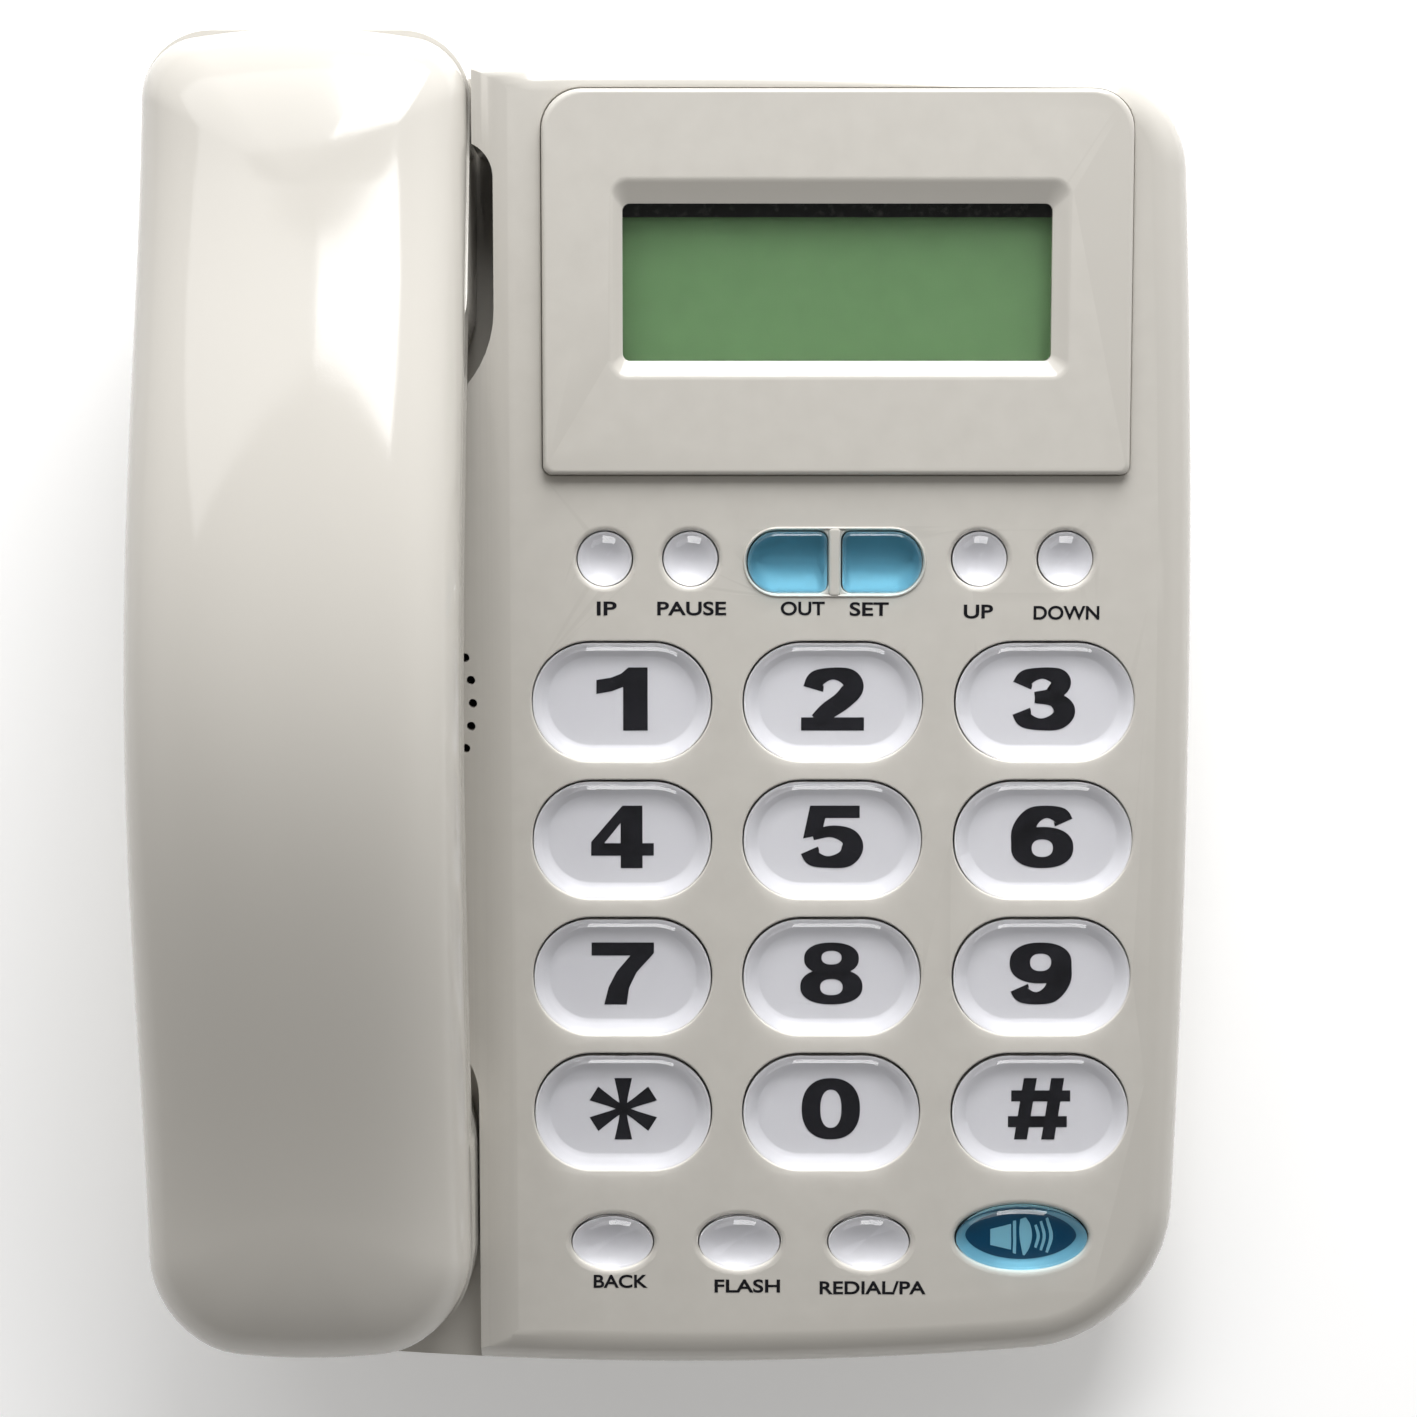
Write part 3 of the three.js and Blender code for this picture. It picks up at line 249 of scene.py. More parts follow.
GROUPS = {
    "phone_base": PhoneBase,
    "phone_handset": PhoneHandset,
    "phone_display": PhoneDisplay,
    "phone_keys": PhoneKeys,
    "phone_small_parts": PhoneSmallParts,
    "phone_finish": PhoneFinish,
    "phone_stage": PhoneStage,
}


def sizes(name):
    """One of the property groups on the scene."""
    return getattr(bpy.context.scene, "phone_" + name)


# ---------------------------------------------------------------- fixed sizes

THROUGH = 15 * MM  # reach of a cutter that goes right through a wall
AXIS_GAP = 0.01 * MM  # a turned profile starts this far from its axis

# plan radii of the wells under the handset: front-right, back-right, back-left, front-left
EAR_WELL_CORNERS = [value * MM for value in (18, 6, 6, 18)]
MOUTH_WELL_CORNERS = [value * MM for value in (2, 12, 12, 2)]
PAST_WELL_CORNER = 2 * MM
HOOK_HOLE_INSET = 0.9 * MM  # from the plunger's flange in to its hole
HOOK_HOLE_CORNER = 2 * MM

# the tray
DOOR_TRAVEL = 6 * MM
DOOR_CORNER = 1.5 * MM
SEAT_WALL = 1.8 * MM
SEAT_RIM = 2 * MM  # how far the door's seat stands over the door
CELL_ROOM = 1 * MM
INNER_CORNER = 1 * MM
FOOT_SEAT_RADIUS = 6.3 * MM
SOCKET_WALL = 1.4 * MM
KNOB_TRAVEL = 4 * MM
MICROPHONE_HOLE_RADIUS = 0.9 * MM

# bosses of the housings' and the handset's screws
BOSS_RADIUS = 4.9 * MM
BORE_RADIUS = 1.65 * MM
RECESS_RADIUS = 3.2 * MM
RECESS_HEIGHT = 8 * MM
HANDSET_BOSS_DEPTH = 3.5 * MM

# the display: the rounded edge of the panel's seat, outwards and up from the deck
SEAT_EDGE = [(out * MM, up * MM) for out, up in ((0, -0.4), (0.12, -0.12), (0.4, 0), (0.6, 0.1))]
WINDOW_CORNER = 1.2 * MM
FRAME_CORNER = 2.5 * MM
# the window's frame: part of the way outwards, and part of its fall that is left there
FRAME_SLOPE = ((0, 1), (0.55, 0.5), (0.9, 0.16), (1, 0.07))
# its rounded edge: distance outwards, and part of its fall that is left there
FRAME_EDGE = ((0.35 * MM, 0.015), (0.7 * MM, 0))
FRAME_RUN_OUT, FRAME_RUN_UP = 1.0 * MM, 0.1 * MM  # where the frame's cutter leaves the panel
SCREEN_LOW, SCREEN_HIGH = -7.5 * MM, -4.5 * MM
# the dark strip along the back edge of the window over the screen: partly a dark gap above the screen, partly
# painted shadow of the window's back wall
BAND_REACH, BAND_MARGIN = 2.1 * MM, 1 * MM
BAND_LOW, BAND_HIGH = SCREEN_HIGH + 0.05 * MM, SCREEN_HIGH + 1.2 * MM

# the handset: radius and number of the holes in each ring
EAR_HOLES = ((3.2 * MM, 6), (6.4 * MM, 12), (9.6 * MM, 18))
MOUTH_HOLES = (3 * MM, 6)
SOUND_HOLE_RADIUS = 0.8 * MM
UNDERSIDE_EDGE = 1.2 * MM
JACK_LEAN_LOW, JACK_LEAN_HIGH = 0.45 * MM, 0.1 * MM  # what the leaning jack adds to its box

# keys
FLANGE_MIDDLE = 3.3 * MM  # depth of the middle of every key's flange under the deck
FLANGE_THICKNESS = 1.2 * MM
DIAL_FLANGE = 0.8 * MM
SMALL_FLANGE = 0.6 * MM
END_FLAT = 0.2 * MM  # how much smaller a key's end radius is than half its depth
PAIR_CORNER = 1.3 * MM
CAP_GAP = 0.1 * MM
FACE_BOTTOM = -3.9 * MM
FACE_INSET = 0.1 * MM
FACE_EDGE = 0.15 * MM
DIAL_FACE_SLOPE = 2.3 * MM
SPEAKER_FACE_SLOPE = 2 * MM
SMALL_FACE_DROP = 1.6 * MM
PAIR_FACE_DROP, PAIR_FACE_NARROWING = 2.3 * MM, 0.3
PAIR_LOWER, PAIR_EDGE, PAIR_CROWN = 0.4 * MM, 0.9 * MM, 0.25 * MM
DOME_START = -0.1 * MM
PLATE_INSET, PLATE_ROOT, PLATE_TOP = 2.1 * MM, 0.1 * MM, 0.05 * MM

# the rim round the blue pair, from outside in: share of its width, and height in millimetres
RIM_SECTION = ((0, -0.4), (0, 0.02), (0.25, 0.224), (0.5, 0.28), (0.75, 0.224), (1, 0.02), (1, -0.4))
RIM_CLEARANCE, RIM_WIDTH = 0.45 * MM, 0.5 * MM
ROUNDING = 0.01 * MM  # how much smaller the rim's radii are than half its depth
# the bar between the pair, from its side in: inset and height in millimetres
BAR_SECTION = ((0, -0.4), (0, 0.1), (0.2, 0.4), (0.5, 0.5))
BAR_OVERLAP, BAR_CORNER = 0.6 * MM, 0.7 * MM

# print
PRINT_THICKNESS = 0.05 * MM
FIGURE_WIDTHS = {"1": 8.3 * MM, "*": 11.1 * MM, "0": 9.6 * MM}
FIGURE_WIDTH = 10.2 * MM  # width of the other figures
FIGURE_SHIFT = 0.3 * MM
LABEL_WEIGHT = 0.02

# a foot, from its dimple outwards: share of its radius, and height in millimetres
FOOT_SECTION = ((0.3, 0.5), (0.36, 0.2), (0.42, 0), (0.82, 0), (0.93, 0.12), (0.985, 0.4), (1, 0.8))

# screws: a head's half section as share of its radius and height, and the thread on the shank
HEAD_SECTION = ((0.8, 0), (0.96, 0.25 * MM), (1, 0.6 * MM))
HEAD_HEIGHT = 2 * MM
SHANK_SHARE, THREAD_SHARE = 0.42, 1.18
THREAD_PITCH, THREAD_RISE = 0.8 * MM, 0.3 * MM
THREAD_START, THREAD_END = 0.4 * MM, 1.2 * MM
TIP_RADIUS = 0.05 * MM
HANDSET_SCREW_LENGTH = 10.9 * MM
CROSS_REACH, CROSS_HALF_WIDTH, CROSS_DEPTH = 0.62, 0.33 * MM, 0.9 * MM

# rounded edges of the small covers, the battery door's finger grip and the ringer knob's ribs
DOOR_EDGE, KNOB_EDGE, PLUNGER_EDGE = 0.3 * MM, 0.1 * MM, 0.5 * MM
GRIP_COUNT, GRIP_START, GRIP_PITCH = 5, 6 * MM, 2.2 * MM
GRIP_HALF_WIDTH, GRIP_HALF_LENGTH, GRIP_CORNER = 0.5 * MM, 9 * MM, 0.48 * MM
GRIP_DEPTH, GRIP_FLARE, GRIP_RUN_OUT = 0.6 * MM, 0.25 * MM, 0.3 * MM
RIB_PLACES = (0.26, 0.5, 0.74)  # shares of the knob's width
RIB_HALF_WIDTH, RIB_DEPTH = 0.22 * MM, 0.4 * MM

# contact wires: body, start of the row's middle and run of the wires, in millimetres
WIRES = {
    "line_jack": ("base", (50, 87, 11.7), (0, 8.4, 0)),
    "cord_jack": ("base", (-70.6, -52, 11.4), (8, 0, 0)),
    "handset_jack": ("handset", (-58.3, -88, 30.2), (0, 7, 0.3)),
}

# stage, in metres: each light's place, aim, width and height
WINDOW_LIGHT = ((0.11, 0.50, 0.40), (0.05, 0.0, 0.24), 0.385, 0.47)
BACK_LIGHT = ((-0.35, 0.75, 0.75), (0.0, 0.0, 0.0), 0.9, 0.5)
SENSOR_WIDTH = 36  # millimetres
FLOOR_REACH = 4
FLOOR_GLOW = 0.2
SKY_FADE = (0.45, 0.9)  # heights of the surroundings between which they darken
SKY_FRONT = (-0.9, 0.5)  # from the front backwards, where they brighten


# ---------------------------------------------------------------- outlines


def quarter(steps):
    """The angles of a quarter turn, with both ends."""
    return [i / steps * math.pi / 2 for i in range(steps + 1)]


def arc(x, y, radius, start, steps):
    """A quarter circle, counter-clockwise from start, with both ends."""
    turns = [start + turn for turn in quarter(steps)]
    return [Vector((x + radius * math.cos(a), y + radius * math.sin(a))) for a in turns]


def rounded(edges, radii, corner_steps=8, side_steps=1):
    """A rounded rectangle; radii run front-right, back-right, back-left, front-left."""
    left, right, front, back = edges
    fr, br, bl, fl = radii
    square = math.pi / 2
    arcs = [
        arc(right - fr, front + fr, fr, -square, corner_steps),
        arc(right - br, back - br, br, 0, corner_steps),
        arc(left + bl, back - bl, bl, square, corner_steps),
        arc(left + fl, front + fl, fl, 2 * square, corner_steps),
    ]
    points = []
    for corner, following in zip(arcs, arcs[1:] + arcs[:1]):
        points += corner
        points += [corner[-1].lerp(following[0], i / side_steps) for i in range(1, side_steps)]
    return points


def even(radius):
    """The same radius at all four corners."""
    return (radius, radius, radius, radius)


def centred(width, height, radii, steps=8):
    """A rounded rectangle round the origin."""
    return rounded((-width / 2, width / 2, -height / 2, height / 2), radii, steps)


def circle_spots(x, y, radius, count):
    """Evenly spaced places on a circle, counter-clockwise from its right."""
    turns = [i / count * 2 * math.pi for i in range(count)]
    return [(x + radius * math.cos(turn), y + radius * math.sin(turn)) for turn in turns]


def ellipse(width, height, steps=64):
    """An ellipse round the origin."""
    return [Vector((width / 2 * x, height / 2 * y)) for x, y in circle_spots(0, 0, 1, steps)]


def offset(points, distance):
    """Moves each point outwards along its mitre; a negative distance insets."""
    made = []
    for i, p in enumerate(points):
        before, after = points[i - 1], points[(i + 1) % len(points)]
        first = Vector((p.y - before.y, before.x - p.x)).normalized()
        second = Vector((after.y - p.y, p.x - after.x)).normalized()
        mitre = first + second
        made.append(p + mitre * (2 * distance / mitre.length_squared))
    return made


def moved(points, x, y):
    """An outline shifted in its plane."""
    return [p + Vector((x, y)) for p in points]


def between(first, second, part):
    """An outline part of the way from one to another of equal count."""
    return [p.lerp(q, part) for p, q in zip(first, second)]


def level(points, z):
    """A flat ring at one height."""
    return [Vector((p.x, p.y, z)) for p in points]


# ---------------------------------------------------------------- solids


def loft(rings, closed_top=True):
    """Skins rings of equal count from the lowest to the highest."""
    count = len(rings[0])
    verts = [p for ring in rings for p in ring]
    faces = []
    for start in range(0, (len(rings) - 1) * count, count):
        for i in range(count):
            a, b = start + i, start + (i + 1) % count
            faces.append((a, b, b + count, a + count))
    faces.append(tuple(reversed(range(count))))
    if closed_top:
        faces.append(tuple(range((len(rings) - 1) * count, len(rings) * count)))
    return verts, faces


def torus(rings):
    """A closed band through rings that end where they began."""
    count = len(rings[0])
    verts = [p for ring in rings for p in ring]
    faces = []
    for i in range(len(rings)):
        a, b = i * count, (i + 1) % len(rings) * count
        faces += [(a + k, a + (k + 1) % count, b + (k + 1) % count, b + k) for k in range(count)]
    return verts, faces


def prism(points, low, high):
    """An outline raised from one height to another."""
    return loft([level(points, low), level(points, high)])


def block(left, right, front, back, low, high):
    """A plain box, used to cut."""
    plan = [Vector((right, front)), Vector((right, back)), Vector((left, back)), Vector((left, front))]
    return prism(plan, low, high)


def rod(x, y, radius, low, high, sides=32):
    """An upright cylinder."""
    return prism(moved(ellipse(2 * radius, 2 * radius, sides), x, y), low, high)


def turned(profile, sides=48):
    """A profile of radius and height, from the bottom axis to the top axis, turned about Z."""
    return loft([level(ellipse(2 * r, 2 * r, sides), z) for r, z in profile])


def placed(shape, matrix):
    """A shape carried into another frame."""
    verts, faces = shape
    return [matrix @ v for v in verts], faces


def along_x(shape):
    """Turns a shape drawn over YZ and raised along X into place."""
    turn = Matrix(((0, 0, 1), (1, 0, 0), (0, 1, 0)))
    return placed(shape, turn)


def along_y(shape):
    """Turns a shape drawn over XZ and raised along minus Y into place."""
    return placed(shape, Matrix.Rotation(math.pi / 2, 3, "X"))


def build(name, shapes, matrix=None, merge=0.0):
    """One mesh object from a list of shapes."""
    verts, faces = [], []
    for shape_verts, shape_faces in shapes:
        start = len(verts)
        verts += [matrix @ v for v in shape_verts] if matrix else shape_verts
        faces += [tuple(start + i for i in face) for face in shape_faces]
    mesh = bpy.data.meshes.new(name)
    mesh.from_pydata(verts, [], faces)
    obj = bpy.data.objects.new(name, mesh)
    bpy.context.scene.collection.objects.link(obj)
    if merge:
        weld = obj.modifiers.new("weld", "WELD")
        weld.merge_threshold = merge
        freeze(obj)
    return obj


def freeze(obj):
    """Applies an object's modifiers to its mesh."""
    graph = bpy.context.evaluated_depsgraph_get()
    made = bpy.data.meshes.new_from_object(obj.evaluated_get(graph))
    old = obj.data
    obj.modifiers.clear()
    obj.data = made
    bpy.data.meshes.remove(old)


def combine(target, operation, other):
    """Cuts, joins or intersects the target with another object, which is used up."""
    modifier = target.modifiers.new("combine", "BOOLEAN")
    modifier.object = other
    modifier.operation = operation
    modifier.solver = "MANIFOLD"
    freeze(target)
    bpy.data.objects.remove(other)
    if not target.data.polygons:
        raise RuntimeError(f"{target.name} has nothing left after {operation}")


def cut(target, shapes, matrix=None):
    """Cuts each shape out of the target; the shapes of one call don't overlap."""
    combine(target, "DIFFERENCE", build("cutter", shapes, matrix))


def join(target, shapes, matrix=None):
    """Joins each shape to the target."""
    combine(target, "UNION", build("addition", shapes, matrix))


def soften(obj, width, segments=3, limit=50):
    """Rounds an object's sharp edges."""
    bevel = obj.modifiers.new("soften", "BEVEL")
    bevel.width = width
    bevel.segments = segments
    bevel.limit_method = "ANGLE"
    bevel.angle_limit = math.radians(limit)
    bevel.use_clamp_overlap = True
    freeze(obj)


def dress(obj, material, body, slot, *nodes, crease=34):
    """Shades a finished piece, gives it its material and body, and hides the nodes it stands for."""
    mesh = obj.data
    mesh.materials.clear()
    mesh.materials.append(material)
    mesh.polygons.foreach_set("material_index", [0] * len(mesh.polygons))
    mesh.shade_smooth()
    mesh.set_sharp_from_angle(angle=math.radians(crease))
    normals = obj.modifiers.new("normals", "WEIGHTED_NORMAL")
    normals.keep_sharp = True
    normals.weight = 100
    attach(obj, body)
    if nodes:
        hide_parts(*nodes)
    return obj


# ---------------------------------------------------------------- frames of the deck and the handset


def deck_frame():
    """From the deck's own frame into the telephone's."""
    base = sizes("base")
    return Matrix.Translation((0, 0, base.deck_height)) @ Matrix.Rotation(base.slope, 4, "X")


def handset_frame():
    """From the handset's own frame into the telephone's."""
    handset = sizes("handset")
    return Matrix.Translation(handset.place) @ Matrix.Rotation(handset.tilt, 4, "X")


# ---------------------------------------------------------------- console shapes


def base_outline():
    """Barrel-shaped plan of the console."""
    base = sizes("base")
    edges = (
        base.left + base.side_bulge,
        base.right - base.side_bulge,
        base.front + base.front_bulge,
        base.back - base.back_bulge,
    )
    radii = (base.front_corner, base.back_corner, base.back_corner, base.front_corner)
    middle, half = (base.left + base.right) / 2, (base.right - base.left) / 2 - base.side_bulge
    points = []
    for p in rounded(edges, radii, 10, 16):
        across = (p.x - middle) / half
        reach, bulge = (edges[3], base.back_bulge) if p.y > 0 else (-edges[2], base.front_bulge)
        along = p.y / reach
        points.append(Vector((
            p.x + base.side_bulge * across * (1 - along**2),
            p.y + bulge * along * (1 - across**2),
        )))
    return points


def wedge(inset, bottom, steps=8):
    """The wedge-shaped console over a height, drawn in by an inset."""
    base = sizes("base")
    outline = base_outline()
    radius = base.shoulder - inset
    rise = math.tan(base.slope)
    rings = [level(offset(outline, -inset), bottom)]
    for turn in quarter(steps):
        edge = offset(outline, -inset - radius * (1 - math.cos(turn)))
        fall = inset + radius * (1 - math.sin(turn))
        rings.append([Vector((p.x, p.y, base.deck_height + p.y * rise - fall)) for p in edge])
    return loft(rings)


def tray(inset, bottom, top, steps=5):
    """The tapering tray under the split, with a rounded bottom edge."""
    base = sizes("base")
    outline = base_outline()
    rings = []
    for turn in quarter(steps):
        narrow = base.tray_taper + base.tray_edge * (1 - math.sin(turn)) + inset
        rings.append(level(offset(outline, -narrow), bottom + base.tray_edge * (1 - math.cos(turn))))
    rings.append(level(offset(outline, -inset), top))
    return loft(rings)


def trough(inset, steps=28):
    """Cutter for the cradle trough with its S-shaped side, on the deck."""
    base = sizes("base")
    reach, high = 2 * abs(base.front), 2 * base.deck_height
    curve = []
    for i in range(steps + 1):
        part = i / steps
        x = base.cradle_floor + part * (base.cradle_edge - base.cradle_floor)
        fall = base.cradle_drop * (1 - part * part * (3 - 2 * part))
        curve.append(Vector((x + inset / 2, -fall - inset)))
    profile = [Vector((2 * base.left, -base.cradle_drop - inset))] + curve
    profile += [Vector((base.cradle_edge + inset / 2, high)), Vector((2 * base.left, high))]
    return along_y(prism(profile, -reach, reach))


def well(front, back, side, radii, inset):
    """Cutter for one well under the handset, in its frame."""
    handset = sizes("handset")
    half = handset.cup_half_width + side + inset
    plan = rounded((-half, half, front - inset, back + inset), [r + inset for r in radii], 12)
    return prism(plan, -handset.floor_clearance - inset, 4 * handset.parting_end)


def cradle_wells(inset):
    """The ear well, the cut past it and the mouth well."""
    handset = sizes("handset")
    beyond = 1.3 * handset.half_length
    side, room = handset.side_clearance, handset.well_clearance
    ear_back = handset.ear_slope + handset.end_clearance
    return (
        well(handset.ear_start - room, ear_back, room, EAR_WELL_CORNERS, inset),
        well(handset.ear_slope - handset.cup_corner, beyond, side, even(PAST_WELL_CORNER), inset),
        well(-beyond, room - handset.mouth_start, side, MOUTH_WELL_CORNERS, inset),
    )


def extent_edges(node):
    """Left, right, front and back of a packed node."""
    low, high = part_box(node)
    return low.x, high.x, low.y, high.y


def middle_of(node):
    """Middle of a packed node's box."""
    low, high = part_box(node)
    return (low + high) / 2


def edges_grown(edges, by):
    """Left, right, front and back moved outwards."""
    left, right, front, back = edges
    return (left - by, right + by, front - by, back + by)


def panel_outline(grow):
    """Outline of the display panel, grown or drawn in."""
    display = sizes("display")
    front, back = display.panel_corners
    return rounded(edges_grown(display.panel, grow), (front, back, back, front), 10)


def window_outline(grow):
    """Outline of the display window."""
    return rounded(edges_grown(sizes("display").window, grow), even(WINDOW_CORNER), 8)


# ---------------------------------------------------------------- keys and their places

DIAL_FIGURES = {
    "dial_key_1": "1", "dial_key_2": "2", "dial_key_3": "3", "dial_key_4": "4",
    "dial_key_5": "5", "dial_key_6": "6", "dial_key_7": "7", "dial_key_8": "8",
    "dial_key_9": "9", "dial_key_star": "*", "dial_key_0": "0", "dial_key_hash": "#",
}
ROUND_KEYS = ("ip_key", "pause_key", "up_key", "down_key")
OVAL_KEYS = ("back_key", "flash_key", "redial_key")
BLUE_PAIR = ("out_key", "set_key")
# name of the key: text, shift across and down from the key's middle, width, all in millimetres
LABELS = {
    "ip_key": ("IP", 0.3, -8.0, 3.2),
    "pause_key": ("PAUSE", 0.2, -8.0, 11.1),
    "out_key": ("OUT", 2.5, -7.5, 7.1),
    "set_key": ("SET", -2.0, -7.6, 6.3),
    "up_key": ("UP", -0.1, -8.5, 4.7),
    "down_key": ("DOWN", 0.3, -8.7, 10.6),
    "back_key": ("BACK", 1.3, -6.6, 8.9),
    "flash_key": ("FLASH", 1.3, -7.4, 10.8),
    "redial_key": ("REDIAL/PA", 0.7, -7.7, 17.5),
}


def key_place(node, flange):
    """Middle of a key on the deck, and the width and depth of its cap, from the packed node."""
    base = sizes("base")
    low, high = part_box(node)
    lean, rise = math.cos(base.slope), math.sin(base.slope)
    x = (low.x + high.x) / 2
    y = ((low.y + high.y) / 2 - FLANGE_MIDDLE * rise) / lean
    width = high.x - low.x - 2 * flange
    deep = (high.y - low.y - FLANGE_THICKNESS * rise) / lean - 2 * flange
    return x, y, width, deep


def key_outline(node, width, height):
    """Plan of a key's cap round its own middle."""
    end = height / 2 - END_FLAT
    if node in DIAL_FIGURES:
        return centred(width, height, even(end), 14)
    if node in BLUE_PAIR:
        outer, inner = (end, end), (PAIR_CORNER, PAIR_CORNER)
        radii = inner + outer if node == "out_key" else outer + inner
        return centred(width, height, radii, 12)
    return ellipse(width, height)


def all_keys():
    """Every key's node with its place and outline."""
    made = []
    for node in (*DIAL_FIGURES, *ROUND_KEYS, *BLUE_PAIR, *OVAL_KEYS, "speaker_key"):
        flange = DIAL_FLANGE if node in DIAL_FIGURES else SMALL_FLANGE
        x, y, width, height = key_place(node, flange)
        made.append((node, x, y, key_outline(node, width, height)))
    return made


def hole_cutter(node, x, y, outline):
    """Cutter for a key's hole with a rounded rim."""
    keys = sizes("keys")
    rim = keys.rim if node in DIAL_FIGURES or node in BLUE_PAIR else keys.small_rim
    plan = moved(outline, x, y)
    rings = [level(offset(plan, keys.clearance), -THROUGH)]
    for turn in quarter(5):
        out = keys.clearance + rim * (1 - math.cos(turn))
        rings.append(level(offset(plan, out), -rim * 0.7 * (1 - math.sin(turn))))
    run_out = offset(plan, keys.clearance + rim * 1.2)
    rings += [level(run_out, rim * 0.2), level(run_out, THROUGH)]
    return loft(rings)


def grille_cutters():
    """Cutters for the loudspeaker grille: a middle hole and its rings."""
    base = sizes("base")
    depth = base.cradle_drop + 2 * base.wall
    spots = [tuple(base.grille_spot)]
    for ring in range(1, base.grille_rings + 1):
        spots += circle_spots(*base.grille_spot, ring * base.grille_pitch, round(2 * math.pi * ring))
    return [rod(x, y, base.grille_hole, -depth, base.wall, 14) for x, y in spots]


# ---------------------------------------------------------------- handset shapes


def parting_height(y):
    """Height of the parting line along the handset."""
    handset = sizes("handset")
    wave = math.cos(math.pi * y / (2 * handset.parting_span))
    return handset.parting_end + handset.parting_arch * wave**2


def handset_outline(inset, corner_steps=10, side_steps=36):
    """Plan of the handset with swelling ends."""
    handset = sizes("handset")
    half = handset.half_width - inset
    end = handset.half_length - handset.end_bulge - inset
    ear, mouth = handset.ear_corner - inset, handset.mouth_corner - inset
    points = []
    for p in rounded((-half, half, -end, end), (mouth, ear, ear, mouth), corner_steps, side_steps):
        swell = handset.end_bulge * (p.y / end) * (1 - (p.x / half) ** 2)
        points.append(Vector((p.x, p.y + swell)))
    return points


def dome(inset, steps=22):
    """Domed bar over the handset's plan, standing on its base plane."""
    handset = sizes("handset")
    outline = handset_outline(inset)
    crown = handset.crown - inset
    spine = handset.half_length - handset.half_width
    power = 2 / handset.crown_power
    rings = [level(outline, 0)]
    for i, turn in enumerate(quarter(steps)):
        out = math.cos(turn) ** power if i < steps else 0.0
        up = math.sin(turn) ** power
        ring = []
        for p in outline:
            along = min(max(p.y, -spine), spine)
            y = along + (p.y - along) * out
            ring.append(Vector((p.x * out, y, parting_height(y) + crown * up)))
        rings.append(ring)
    return loft(rings, closed_top=False)


def parting_curve(shift, reach, steps=60):
    """The parting line as points of a side profile, from the mouth end to the ear end."""
    ys = [-reach + 2 * reach * i / steps for i in range(steps + 1)]
    return [Vector((y, parting_height(y) + shift)) for y in ys]


def cup(start, slope, sign, end_corner, inset):
    """One cup of the bottom shell: its side profile crossed with its plan."""
    handset = sizes("handset")
    end = handset.half_length - inset
    top = handset.parting_end + handset.parting_arch
    edge = handset.cup_edge
    near = start + inset
    heel = [(near + edge * (1 - math.cos(a)), inset + edge * (1 - math.sin(a))) for a in quarter(6)]
    points = [(near, top), *heel, (slope - inset, inset), (end, handset.parting_end - edge), (end, top)]
    profile = [Vector((sign * y, z)) for y, z in points]
    if sign < 0:
        profile.reverse()
    wide = 2 * handset.cup_half_width
    made = build("cup", [along_x(prism(profile, -wide, wide))])
    front, back = sorted((sign * near, sign * end))
    half = handset.cup_half_width - inset
    corner, tip = handset.cup_corner - inset, end_corner + handset.end_bulge - inset
    radii = (corner, tip, tip, corner) if sign > 0 else (tip, corner, corner, tip)
    plan = rounded((-half, half, front, back), radii, 14)
    combine(made, "INTERSECT", build("plan", [prism(plan, -top, 2 * top)]))
    return made


def bottom_body(inset):
    """Grip and both cups of the bottom shell as one solid."""
    handset = sizes("handset")
    reach = handset.half_length - handset.ear_corner
    lower = parting_curve(inset - handset.grip_depth, reach)
    upper = parting_curve(handset.grip_depth, reach)
    wide = 2 * handset.cup_half_width
    made = build("grip", [along_x(prism(lower + upper[::-1], -wide, wide))])
    tall = 4 * handset.parting_arch
    combine(made, "INTERSECT", build("plan", [prism(handset_outline(inset), 0, tall)]))
    combine(made, "UNION", cup(handset.ear_start, handset.ear_slope, 1, handset.ear_corner, inset))
    combine(made, "UNION", cup(handset.mouth_start, handset.mouth_slope, -1, handset.mouth_corner, inset))
    return made


def parted(above):
    """Everything over or under the parting line, less half the gap between the shells."""
    handset = sizes("handset")
    gap = sizes("base").gap
    reach = handset.half_length + handset.wall
    line = parting_curve((1 if above else -1) * gap / 2, reach)
    far = 6 * handset.parting_arch if above else -handset.parting_arch
    profile = line + [Vector((reach, far)), Vector((-reach, far))]
    if not above:
        profile.reverse()
    wide = 2 * handset.cup_half_width
    return build("parted", [along_x(prism(profile, -wide, wide))])


# ---------------------------------------------------------------- materials


def add_node(tree, kind, values=None, **settings):
    """A shader node with its settings, and its inputs set or linked."""
    made = tree.nodes.new(kind)
    for key, value in settings.items():
        setattr(made, key, value)
    for key, value in (values or {}).items():
        if isinstance(value, bpy.types.NodeSocket):
            tree.links.new(value, made.inputs[key])
        else:
            made.inputs[key].default_value = value
    return made


def new_group(name, inputs, outputs):
    """An empty shader group with named inputs (name: kind and default) and outputs (name: kind)."""
    group = bpy.data.node_groups.new(name, "ShaderNodeTree")
    for key, (kind, default) in inputs.items():
        socket = group.interface.new_socket(key, in_out="INPUT", socket_type="NodeSocket" + kind)
        socket.default_value = default
    for key, kind in outputs.items():
        group.interface.new_socket(key, in_out="OUTPUT", socket_type="NodeSocket" + kind)
    return group, group.nodes.new("NodeGroupInput").outputs, group.nodes.new("NodeGroupOutput").inputs


def noise_map(tree, scale, detail):
    """Noise over the object's own space."""
    place = add_node(tree, "ShaderNodeTexCoord").outputs["Object"]
    made = add_node(tree, "ShaderNodeTexNoise", {"Vector": place, "Scale": scale, "Detail": detail})
    return made.outputs["Fac"]


